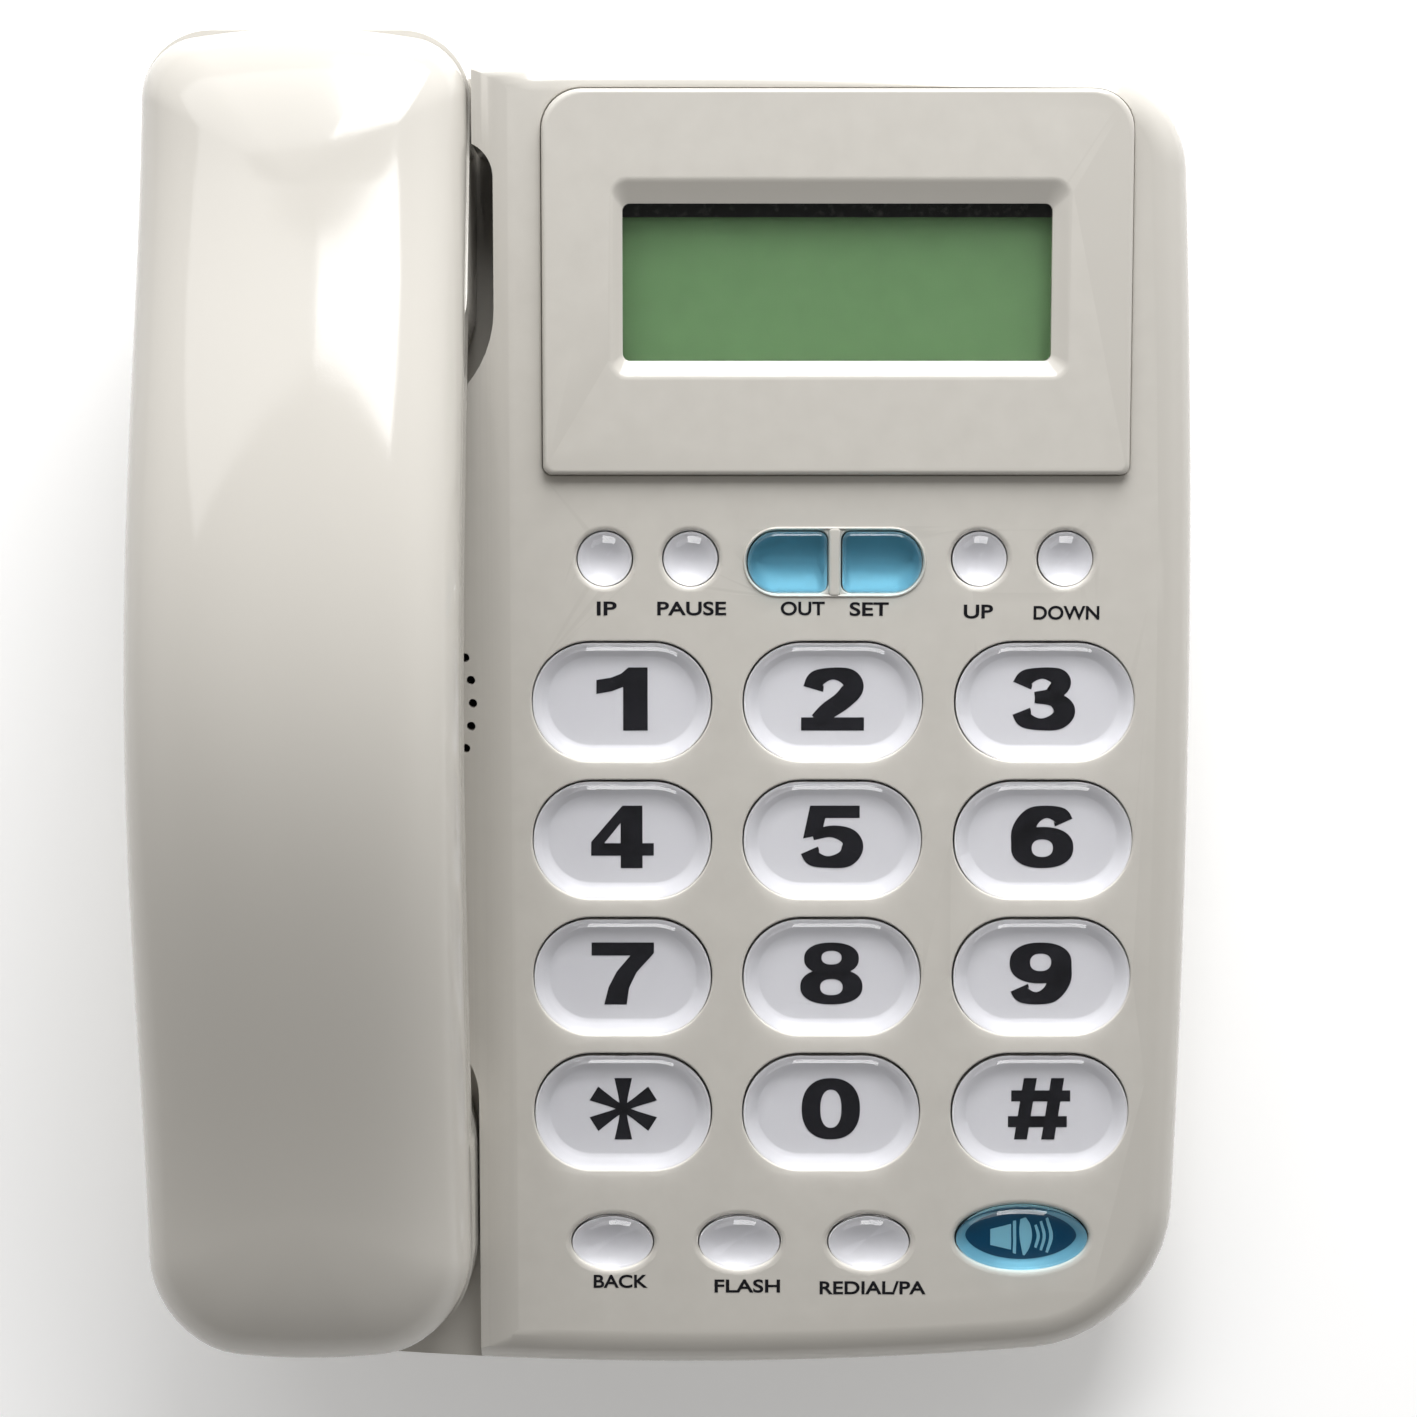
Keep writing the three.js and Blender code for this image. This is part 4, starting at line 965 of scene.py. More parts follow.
def drift_group():
    """Slow change of colour over a moulding."""
    group, given, out = new_group(
        "Colour drift",
        {"Colour": ("Color", (1, 1, 1, 1)), "Other": ("Color", (1, 1, 1, 1)), "Scale": ("Float", 30.0),
         "Share": ("Float", 0.5)},
        {"Colour": "Color"},
    )
    noise = noise_map(group, given["Scale"], 3.0)
    part = add_node(group, "ShaderNodeMath", {0: noise, 1: given["Share"]}, operation="MULTIPLY")
    mix = add_node(group, "ShaderNodeMix", {"Factor": part.outputs[0]}, data_type="RGBA")
    group.links.new(given["Colour"], mix.inputs["A"])
    group.links.new(given["Other"], mix.inputs["B"])
    group.links.new(mix.outputs["Result"], out["Colour"])
    return group


def grain_group():
    """Fine moulding grain and slow waviness as a height, with a change of roughness."""
    group, given, out = new_group(
        "Moulded grain",
        {"Grain scale": ("Float", 2500.0), "Wave scale": ("Float", 60.0), "Roughness": ("Float", 0.1),
         "Spread": ("Float", 0.05)},
        {"Height": "Float", "Wave": "Float", "Roughness": "Float"},
    )
    fine = noise_map(group, given["Grain scale"], 4.0)
    wave = noise_map(group, given["Wave scale"], 1.0)
    blot = noise_map(group, 140.0, 5.0)
    centre = add_node(group, "ShaderNodeMath", {0: blot, 1: 0.5}, operation="SUBTRACT")
    rough = add_node(
        group, "ShaderNodeMath", {0: centre.outputs[0], 1: given["Spread"], 2: given["Roughness"]},
        operation="MULTIPLY_ADD",
    )
    group.links.new(fine, out["Height"])
    group.links.new(wave, out["Wave"])
    group.links.new(rough.outputs[0], out["Roughness"])
    return group


def wear_group():
    """Polished or rubbed edges, as a mask from how sharply the surface turns."""
    group, given, out = new_group(
        "Edge wear", {"Width": ("Float", 0.06), "Breakup": ("Float", 220.0)}, {"Mask": "Float"}
    )
    shape = add_node(group, "ShaderNodeNewGeometry").outputs["Pointiness"]
    noise = noise_map(group, given["Breakup"], 4.0)
    start = add_node(group, "ShaderNodeMath", {0: given["Width"], 1: 0.5}, operation="ADD")
    mask = add_node(
        group, "ShaderNodeMapRange", {"Value": shape, "From Min": 0.5, "From Max": start.outputs[0]}
    )
    broken = add_node(group, "ShaderNodeMath", {0: mask.outputs["Result"], 1: noise}, operation="MULTIPLY")
    group.links.new(broken.outputs[0], out["Mask"])
    return group


def dust_group():
    """Dust that settles on faces looking up, as a mask."""
    group, given, out = new_group(
        "Settled dust", {"Amount": ("Float", 0.2), "Scale": ("Float", 900.0)}, {"Mask": "Float"}
    )
    normal = add_node(group, "ShaderNodeNewGeometry").outputs["Normal"]
    parts = add_node(group, "ShaderNodeSeparateXYZ", {"Vector": normal})
    noise = noise_map(group, given["Scale"], 6.0)
    specks = add_node(group, "ShaderNodeMapRange", {"Value": noise, "From Min": 0.52, "From Max": 0.75})
    upward = add_node(
        group, "ShaderNodeMath", {0: parts.outputs["Z"], 1: specks.outputs["Result"]}, operation="MULTIPLY",
        use_clamp=True,
    )
    mask = add_node(group, "ShaderNodeMath", {0: upward.outputs[0], 1: given["Amount"]}, operation="MULTIPLY")
    group.links.new(mask.outputs[0], out["Mask"])
    return group


EFFECTS = {"drift": drift_group, "grain": grain_group, "wear": wear_group, "dust": dust_group}
built_effects = {}
materials = {}


def effect(tree, name, values):
    """Places one shared effect in a material with its own values."""
    if name not in built_effects:
        built_effects[name] = EFFECTS[name]()
    made = tree.nodes.new("ShaderNodeGroup")
    made.node_tree = built_effects[name]
    for key, value in values.items():
        made.inputs[key].default_value = value
    return made.outputs


def opaque(rgb):
    """A colour with full alpha."""
    return (*rgb, 1.0)


def new_material(name):
    """A material with only its surface shader; gives the material, its tree and the shader."""
    material = bpy.data.materials.new(name)
    material.use_nodes = True
    return material, material.node_tree, material.node_tree.nodes["Principled BSDF"]


def scaled(rgb, factor):
    """A colour made lighter or darker."""
    return [value * factor for value in rgb]


def shader_of(material):
    """The surface shader of a material."""
    return material.node_tree.nodes["Principled BSDF"]


def moulding(
    name, main, other, roughness, spread=0.05, grain=2500.0, fine=0.004, wave=0.02, worn=None, dust=0.12
):
    """A moulded or cast finish: drifting colour, grain, rubbed edges and a little dust."""
    material, tree, shader = new_material(name)
    tones = {"Colour": opaque(main), "Other": opaque(other), "Scale": 24.0, "Share": 0.9}
    tone = effect(tree, "drift", tones)
    surface = effect(tree, "grain", {"Grain scale": grain, "Roughness": roughness, "Spread": spread})
    edges = effect(tree, "wear", {"Width": 0.07})
    motes = effect(tree, "dust", {"Amount": dust})
    bright = opaque(worn or [min(1.0, value) for value in scaled(main, 1.12)])
    rubbed = add_node(
        tree, "ShaderNodeMix", {"Factor": edges["Mask"], "A": tone["Colour"], "B": bright}, data_type="RGBA"
    )
    dusty = add_node(
        tree, "ShaderNodeMix", {"Factor": motes["Mask"], "B": (0.6, 0.58, 0.54, 1)}, data_type="RGBA"
    )
    tree.links.new(rubbed.outputs["Result"], dusty.inputs["A"])
    tree.links.new(dusty.outputs["Result"], shader.inputs["Base Color"])
    tree.links.new(surface["Roughness"], shader.inputs["Roughness"])
    slow = add_node(
        tree, "ShaderNodeBump", {"Strength": 1.0, "Distance": wave * MM, "Height": surface["Wave"]}
    )
    quick = add_node(tree, "ShaderNodeBump", {
        "Strength": 1.0, "Distance": fine * MM, "Height": surface["Height"], "Normal": slow.outputs["Normal"],
    })
    tree.links.new(quick.outputs["Normal"], shader.inputs["Normal"])
    return material


def clear_plastic(name, tint, other, roughness):
    """See-through plastic with faint flow marks and a slight change of gloss."""
    material, tree, shader = new_material(name)
    tones = {"Colour": opaque(tint), "Other": opaque(other), "Scale": 90.0, "Share": 0.6}
    tone = effect(tree, "drift", tones)
    surface = effect(
        tree, "grain", {"Grain scale": 900.0, "Wave scale": 160.0, "Roughness": roughness, "Spread": 0.02}
    )
    tree.links.new(tone["Colour"], shader.inputs["Base Color"])
    tree.links.new(surface["Roughness"], shader.inputs["Roughness"])
    bump = add_node(
        tree, "ShaderNodeBump", {"Strength": 1.0, "Distance": 0.006 * MM, "Height": surface["Wave"]}
    )
    tree.links.new(bump.outputs["Normal"], shader.inputs["Normal"])
    shader.inputs["IOR"].default_value = 1.49
    shader.inputs["Transmission Weight"].default_value = 1.0
    return material


def bare_metal(name, main, roughness):
    """Metal with a darker drift, a fine grain and rubbed edges."""
    material = moulding(name, main, scaled(main, 0.8), roughness, dust=0.05)
    shader_of(material).inputs["Metallic"].default_value = 1.0
    return material


def printed_black(name, main):
    """Matt black print."""
    material = moulding(name, main, scaled(main, 2), 0.8, worn=scaled(main, 4), dust=0.0)
    shader_of(material).inputs["Specular IOR Level"].default_value = 0.08
    return material


def make_materials():
    """Every finish by name."""
    look = sizes("finish")
    materials.update({
        "ivory": moulding("Ivory plastic", look.ivory, look.ivory_warm, look.ivory_roughness),
        "blue_face": moulding("Blue key face", look.blue_face, scaled(look.blue_face, 0.9), 0.3, dust=0.0),
        "navy_face": moulding("Navy key face", look.navy_face, scaled(look.navy_face, 0.8), 0.3, dust=0.0),
        "face": moulding("White key face", look.face, scaled(look.face, 0.96), 0.35, dust=0.0),
        "ink": printed_black("Black print", look.ink),
        "dark": moulding("Black plastic", look.dark, scaled(look.dark, 2), 0.4, grain=1400, fine=0.02),
        "rubber": moulding("Rubber", look.rubber, scaled(look.rubber, 1.4), 0.8, grain=1100, fine=0.05),
        "mat": moulding("Key mat", (0.45, 0.47, 0.5), (0.4, 0.42, 0.45), 0.7, fine=0.02),
        "board": moulding("Board", look.board, scaled(look.board, 0.6), 0.45, grain=500, fine=0.03),
        "wrap": moulding("Cell wrap", look.wrap, scaled(look.wrap, 2.4), 0.3),
        "lcd": moulding("Screen", look.screen, look.screen_shade, 0.35, fine=0.001, wave=0.004, dust=0.05),
        "metal": bare_metal("Steel", look.metal, 0.35),
        "brass": bare_metal("Gilt", look.brass, 0.25),
        "clear": clear_plastic("Clear cap", look.clear, scaled(look.clear, 0.98), 0.02),
        "pane": clear_plastic("Window pane", (0.97, 0.99, 0.97), (0.95, 0.98, 0.95), 0.03),
        "blue": clear_plastic("Blue cap", look.blue, scaled(look.blue, 0.9), 0.02),
    })


CARRIED_OVER = {
    "key_mat": "mat", "key_board": "board", "main_board": "board", "loudspeaker": "dark",
    "hook_switch": "dark", "ringer_switch": "dark", "handsfree_microphone": "dark",
    "battery_1": "wrap", "battery_2": "wrap", "battery_3": "wrap", "display_window": "pane",
    "ballast_plate": "metal", "earpiece": "dark", "handset_microphone": "dark", "handset_weight": "metal",
    "line_jack": "dark", "cord_jack": "dark", "handset_jack": "dark",
}


# ---------------------------------------------------------------- making the pieces


def pair_rim():
    """A low rim round the two blue keys and the raised bar between them."""
    keys = sizes("keys")
    (out_x, y, out_width, height), (set_x, _, set_width, _) = [
        key_place(node, SMALL_FLANGE) for node in BLUE_PAIR
    ]
    left = out_x - out_width / 2 - RIM_CLEARANCE
    right = set_x + set_width / 2 + RIM_CLEARANCE
    wide, tall = right - left, height + 2 * RIM_CLEARANCE
    outlines = [
        moved(centred(wide + grow, tall + grow, even((tall + grow) / 2 - ROUNDING)), (left + right) / 2, y)
        for grow in (2 * RIM_WIDTH, 0)
    ]
    rim = torus([level(between(*outlines, part), z * MM) for part, z in RIM_SECTION])
    bar_left = out_x + out_width / 2 + keys.clearance
    bar_right = set_x - set_width / 2 - keys.clearance
    plan = centred(bar_right - bar_left, tall + BAR_OVERLAP, even(BAR_CORNER))
    bar = moved(plan, (bar_left + bar_right) / 2, y)
    return [rim, loft([level(offset(bar, -inset * MM), z * MM) for inset, z in BAR_SECTION])]


def make_upper_housing():
    """The upper housing with its trough, wells, key holes, grille and panel seat."""
    base, display = sizes("base"), sizes("display")
    deck, rest = deck_frame(), handset_frame()
    inside = build("inside", [wedge(base.wall, base.split - base.wall, 4)])
    cut(inside, [trough(base.wall)], deck)
    for shape in cradle_wells(base.wall):
        cut(inside, [shape], rest)
    seat_floor = -display.sunk - base.wall
    cut(inside, [prism(panel_outline(base.gap + base.wall), seat_floor, base.deck_height)], deck)

    housing = build("upper_housing_shell", [wedge(0, base.split + base.gap / 2)])
    cut(housing, [trough(0)], deck)
    for shape in cradle_wells(0):
        cut(housing, [shape], rest)
    combine(housing, "DIFFERENCE", inside)
    section = [(0, -display.sunk), *SEAT_EDGE, (SEAT_EDGE[-1][0], base.deck_height)]
    cut(housing, [loft([level(panel_outline(base.gap / 2 + out), z) for out, z in section])], deck)
    cut(housing, [prism(window_outline(display.pane_margin + base.gap), -THROUGH, THROUGH)], deck)
    cut(housing, [hole_cutter(*key) for key in all_keys()], deck)
    cut(housing, grille_cutters(), deck)
    hook = edges_grown(extent_edges("hook_plunger"), -HOOK_HOLE_INSET)
    cut(housing, [prism(rounded(hook, even(HOOK_HOLE_CORNER)), 0, base.deck_height)])
    join(housing, pair_rim(), deck)
    dress(housing, materials["ivory"], "base", "ivory", "upper_housing")


def battery_seat(housing):
    """Gives the tray its seats for the door and the cells."""
    base = sizes("base")
    left, right, front, back = edges_grown(extent_edges("battery_door"), base.gap)
    door_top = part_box("battery_door")[1].z
    seat = (left, right + DOOR_TRAVEL, front, back)
    (cell_low, cell_high), (_, last_high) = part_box("battery_1"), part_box("battery_3")
    cells = (cell_low.x, cell_high.x, cell_low.y, last_high.y)
    top = cell_high.z
    corner = even(INNER_CORNER)
    door_walls = rounded(edges_grown(seat, SEAT_WALL), corner)
    join(housing, [prism(door_walls, base.floor - base.gap, door_top + SEAT_RIM)])
    cell_walls = rounded(edges_grown(cells, SEAT_WALL + CELL_ROOM), corner)
    join(housing, [prism(cell_walls, base.floor, top + SEAT_WALL)])
    cut(housing, [prism(rounded(seat, even(DOOR_CORNER)), 0, door_top + base.gap)])
    cut(housing, [prism(rounded(edges_grown(cells, CELL_ROOM), corner), 0, top + 2 * base.gap)])


def socket_mouth(node, backwards):
    """Cutter from a socket out through the tray's back or left side."""
    gap = sizes("base").gap
    left, right, front, back = extent_edges(node)
    low, high = [corner.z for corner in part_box(node)]
    low, high = low + SOCKET_WALL / 2, high - SOCKET_WALL / 2
    if backwards:
        return block(left + SOCKET_WALL, right - SOCKET_WALL, back - gap, back + THROUGH, low, high)
    return block(left - THROUGH, left + gap, front + SOCKET_WALL, back - SOCKET_WALL, low, high)


def make_lower_housing():
    """The tray with its floor, sockets' mouths, battery seat, foot seats and screw bores."""
    base = sizes("base")
    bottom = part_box("lower_housing")[0].z
    housing = build("lower_housing_tray", [tray(0, bottom, base.split - base.gap / 2)])
    inside = build("inside", [tray(base.wall, base.floor, base.split + base.wall, 3)])
    combine(housing, "DIFFERENCE", inside)
    battery_seat(housing)
    cutters = []
    for i in range(1, 5):
        foot, foot_top = middle_of(f"foot_{i}"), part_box(f"foot_{i}")[1].z
        cutters.append(rod(foot.x, foot.y, FOOT_SEAT_RADIUS, 0, foot_top + base.gap, 48))
        spot = middle_of(f"housing_screw_{i}")
        boss = rod(spot.x, spot.y, BOSS_RADIUS, base.floor - base.gap, base.split - base.gap / 2)
        join(housing, [boss])
        cutters.append(rod(spot.x, spot.y, RECESS_RADIUS, 0, RECESS_HEIGHT))
        cut(housing, [rod(spot.x, spot.y, BORE_RADIUS, 0, 2 * base.split)])
    cut(housing, cutters)
    cut(housing, [socket_mouth("line_jack", True)])
    cut(housing, [socket_mouth("cord_jack", False)])
    left, right, front, back = edges_grown(extent_edges("ringer_knob"), base.gap)
    low, high = [corner.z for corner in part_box("ringer_knob")]
    cut(housing, [block(left, right + KNOB_TRAVEL, front, back + THROUGH, low - base.gap, high + base.gap)])
    spot = middle_of("handsfree_microphone")
    spot.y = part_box("handsfree_microphone")[0].y
    hole = along_y(rod(0, 0, MICROPHONE_HOLE_RADIUS, 0, 2 * THROUGH, 20))
    cut(housing, [placed(hole, Matrix.Translation(spot))])
    dress(housing, materials["ivory"], "base", "ivory", "lower_housing")


def make_display():
    """The display panel with its sloping frame, the screen behind the window, and a dark strip along the
    window's back edge that is partly painted shadow.
    """
    base, display = sizes("base"), sizes("display")
    deck = deck_frame()
    top, fall, edge = display.proud, display.bevel_depth, display.edge
    rings = [level(panel_outline(0), -display.sunk + base.gap)]
    for turn in quarter(6):
        rings.append(level(panel_outline(-edge * (1 - math.cos(turn))), top - edge * (1 - math.sin(turn))))
    panel = build("display_fascia", [loft(rings)], deck)
    inner = window_outline(0)
    outer = rounded(display.bevel, even(FRAME_CORNER), 8)
    slope = [level(between(inner, outer, part), top - fall * rest) for part, rest in FRAME_SLOPE]
    slope += [level(offset(outer, out), top - fall * rest) for out, rest in FRAME_EDGE]
    run_out = offset(outer, FRAME_RUN_OUT)
    cut(panel, [loft([*slope, level(run_out, top + FRAME_RUN_UP), level(run_out, 2 * top)])], deck)
    cut(panel, [prism(inner, -base.deck_height, base.deck_height)], deck)
    dress(panel, materials["ivory"], "base", "ivory", "display_panel")

    glass = build("screen_glass", [prism(window_outline(display.pane_margin), SCREEN_LOW, SCREEN_HIGH)], deck)
    dress(glass, materials["lcd"], "base", "lcd", "lcd_module")
    # a dark strip along the window's back edge only: partly a dark gap above the screen, partly painted
    # shadow cast by the window's back wall
    left, right, _, back = display.window
    shade = block(
        left - BAND_MARGIN, right + BAND_MARGIN, back - BAND_REACH, back + BAND_MARGIN, BAND_LOW, BAND_HIGH
    )
    dress(build("screen_shadow_band", [shade], deck), materials["dark"], "base", "black_part")


def make_top_shell():
    """The handset's domed shell."""
    shell = build("handset_crown", [dome(0)], merge=1e-6)
    combine(shell, "DIFFERENCE", build("hollow", [dome(sizes("handset").wall, 10)], merge=1e-6))
    combine(shell, "INTERSECT", parted(True))
    shell.data.transform(handset_frame())
    dress(shell, materials["ivory"], "handset", "ivory", "handset_top_shell")


def make_bottom_shell():
    """The handset's grip and cups with their bosses, sound holes and socket."""
    handset, gap = sizes("handset"), sizes("base").gap
    shell = bottom_body(0)
    shell.name = "handset_underside"
    soften(shell, UNDERSIDE_EDGE, 4, 40)
    combine(shell, "DIFFERENCE", bottom_body(handset.wall))
    combine(shell, "INTERSECT", parted(False))
    for y in (-handset.screw_spot, handset.screw_spot):
        under = parting_height(y) - handset.grip_depth / 2
        join(shell, [rod(0, y, BOSS_RADIUS, under - HANDSET_BOSS_DEPTH, parting_height(y) - gap)])
        cut(shell, [rod(0, y, BORE_RADIUS, 0, 2 * under)])
        cut(shell, [rod(0, y, RECESS_RADIUS, 0, under)])
    spots = [(0, handset.mouth_spot), (0, handset.ear_spot)]
    for radius, count in EAR_HOLES:
        spots += circle_spots(0, handset.ear_spot, radius, count)
    spots += circle_spots(0, handset.mouth_spot, *MOUTH_HOLES)
    cut(shell, [rod(x, y, SOUND_HOLE_RADIUS, -MM, handset.wall + MM, 14) for x, y in spots])
    shell.data.transform(handset_frame())
    left, right, front, _ = extent_edges("handset_jack")
    low, high = [corner.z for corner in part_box("handset_jack")]
    cut(shell, [block(
        left + SOCKET_WALL, right - SOCKET_WALL, front - 2 * THROUGH, front + gap,
        low + SOCKET_WALL / 2 + JACK_LEAN_LOW, high - SOCKET_WALL / 2 - JACK_LEAN_HIGH,
    )])
    dress(shell, materials["ivory"], "handset", "ivory", "handset_bottom_shell")


def cap_shape(outline, low, proud, edge, steps=6, crown=0.0):
    """A cap with a rounded top edge and a slight crown."""
    rings = [level(outline, low)]
    for turn in quarter(steps):
        inset, fall = edge * (1 - math.cos(turn)), edge * (1 - math.sin(turn)) + crown
        rings.append(level(offset(outline, -inset), proud - fall))
    if crown:
        top = offset(outline, -edge)
        for part in (0.85, 0.7, 0.5, 0.3, 0.1):
            rings.append([Vector((p.x * part, p.y * part, proud - crown * part**2)) for p in top])
    return loft(rings)


def bubble(outline, low, wall_top, proud, steps=12):
    """A domed cap: its whole top is one swelling curve."""
    rings = [level(outline, low)]
    for turn in quarter(steps)[:-1]:
        height = wall_top + (proud - wall_top) * math.sin(turn)
        rings.append(level([p * math.cos(turn) for p in outline], height))
    return loft(rings)


def key_piece(name, shapes, x, y, material, body, slot, *nodes, crease=34):
    """One piece of a key, in its place on the deck."""
    matrix = deck_frame() @ Matrix.Translation((x, y, 0))
    return dress(build(name, shapes, matrix), material, body, slot, *nodes, crease=crease)


def dished_face(outline, low, high, drop, slope):
    """A white face whose border slopes down to a flat middle."""
    rings = [level(outline, low), level(outline, high - FACE_EDGE), level(offset(outline, -FACE_EDGE), high)]
    for part in (0.3, 0.6, 0.85, 1.0):
        ease = part * part * (3 - 2 * part)
        rings.append(level(offset(outline, -FACE_EDGE - slope * part), high - drop * ease))
    return loft(rings)


def bowl(outline, low, high, drop, narrowing=1.0, steps=10):
    """A face hollowed right up to its border: a round bowl, or a trough when it narrows less along X."""
    rings = [level(outline, low)]
    for i in range(steps):
        part = 1 - i / steps
        across = 1 - narrowing * (1 - part)
        rings.append([Vector((p.x * across, p.y * part, high - drop * (1 - part**2))) for p in outline])
    return loft(rings)


def key_cap(node, outline):
    """The see-through cap of a key."""
    keys = sizes("keys")
    low = CAP_GAP - keys.face_depth
    if node in DIAL_FIGURES:
        return cap_shape(outline, low, keys.dial_proud, keys.dial_edge)
    if node in BLUE_PAIR:
        return cap_shape(outline, low, keys.small_proud - PAIR_LOWER, PAIR_EDGE, crown=PAIR_CROWN)
    return bubble(outline, low, DOME_START, keys.small_proud)


def key_face(node, outline):
    """The face under a key's cap."""
    keys = sizes("keys")
    plan, top = offset(outline, -FACE_INSET), -keys.face_depth
    if node in DIAL_FIGURES:
        return dished_face(plan, FACE_BOTTOM, top, keys.face_drop, DIAL_FACE_SLOPE)
    if node == "speaker_key":
        return dished_face(plan, FACE_BOTTOM, top, keys.face_drop, SPEAKER_FACE_SLOPE)
    if node in BLUE_PAIR:
        return bowl(plan, FACE_BOTTOM, top, PAIR_FACE_DROP, PAIR_FACE_NARROWING)
    return bowl(plan, FACE_BOTTOM, top, SMALL_FACE_DROP)


def make_speaker_sign(node, x, y, outline):
    """The navy plate and the loudspeaker sign on the face of its key."""
    keys = sizes("keys")
    low = -keys.face_depth - keys.face_drop
    plate = prism(offset(outline, -PLATE_INSET), low - PLATE_ROOT, low + PLATE_TOP)
    key_piece(node + "_plate", [plate], x, y, materials["navy_face"], node + "_body", "blue_cap")
    high = low + PLATE_TOP + PRINT_THICKNESS
    marks = [prism([p * MM for p in mark], low, high) for mark in SPEAKER_MARKS]
    key_piece(node + "_symbol", marks, x, y, materials["face"], node + "_body", "white_face")


def make_keys():
    """Each key's cap and the face under it."""
    for node, x, y, plan in all_keys():
        body = node + "_body"
        outline = offset(plan, sizes("keys").fill)
        blue = node in BLUE_PAIR or node == "speaker_key"
        look, slot, under = ("blue", "blue_cap", "blue_face") if blue else ("clear", "clear_cap", "face")
        cap = key_piece(node + "_cap", [key_cap(node, outline)], x, y, materials[look], body, slot, node)
        cap.visible_shadow = False
        key_piece(node + "_face", [key_face(node, outline)], x, y, materials[under], body, "white_face")
        if node == "speaker_key":
            make_speaker_sign(node, x, y, outline)


def lettering(name, text, width, height, weight):
    """Flat raised lettering of one width and height round its own middle."""
    curve = bpy.data.curves.new(name, "FONT")
    curve.body = text
    curve.offset = weight
    curve.extrude = 0.5
    curve.resolution_u = 8
    writer = bpy.data.objects.new(name, curve)
    bpy.context.scene.collection.objects.link(writer)
    graph = bpy.context.evaluated_depsgraph_get()
    mesh = bpy.data.meshes.new_from_object(writer.evaluated_get(graph))
    bpy.data.objects.remove(writer)
    bpy.data.curves.remove(curve)
    fitted(mesh, width, height)
    obj = bpy.data.objects.new(name, mesh)
    bpy.context.scene.collection.objects.link(obj)
    return obj


def egg(x, y, across, up, power=2.3, steps=40):
    """A full oval, a little squarer than an ellipse."""
    made = []
    for i in range(steps):
        turn = 2 * math.pi * i / steps
        c, s = math.cos(turn), math.sin(turn)
        made.append(Vector((
            x + across * math.copysign(abs(c) ** (2 / power), c),
            y + up * math.copysign(abs(s) ** (2 / power), s),
        )))
    return made


def corners(*points):
    """A straight-sided outline."""
    return [Vector(p) for p in points]


def stroke(*marks, steps=7):
    """A pen stroke of changing width through marks of x, y and width."""
    marks = [Vector(mark) for mark in marks]
    ends = [marks[0] * 2 - marks[1], *marks, marks[-1] * 2 - marks[-2]]
    path = []
    for a, b, c, d in zip(ends, ends[1:], ends[2:], ends[3:]):
        for i in range(steps):
            t = i / steps
            bend, twist = a * 2 - b * 5 + c * 4 - d, b * 3 - a - c * 3 + d
            path.append((b * 2 + (c - a) * t + bend * t**2 + twist * t**3) / 2)
    path.append(marks[-1])
    left, right = [], []
    for i, mark in enumerate(path):
        along = path[min(i + 1, len(path) - 1)].xy - path[max(i - 1, 0)].xy
        side = Vector((-along.y, along.x)).normalized() * mark.z / 2
        left.append(mark.xy + side)
        right.append(mark.xy - side)
    return right + left[::-1]


def half_turned(outlines):
    """Outlines turned half round in their unit square."""
    return [[Vector((1, 1)) - p for p in outline] for outline in outlines]


def star_arms():
    """Six flaring arms round the middle."""
    middle = Vector((0.5, 0.5))
    half = ((-0.03, 0.04), (0.2, 0.07), (0.5, 0.13))  # along an arm, and half its width there
    edge = [(along, -wide) for along, wide in half] + [(along, wide) for along, wide in reversed(half)]
    made = []
    for i in range(6):
        turn = math.pi / 2 + i * math.pi / 3
        out, side = Vector((math.cos(turn), math.sin(turn))), Vector((-math.sin(turn), math.cos(turn)))
        made.append([middle + out * along + side * across for along, across in edge])
    return made


SIX = (
    [
        egg(0.5, 0.33, 0.5, 0.33),
        stroke((0.17, 0.36, 0.34), (0.19, 0.6, 0.36), (0.33, 0.82, 0.3), (0.56, 0.9, 0.2), (0.78, 0.84, 0.27),
               (0.84, 0.73, 0.31)),
    ],
    [egg(0.5, 0.32, 0.17, 0.14)],
)
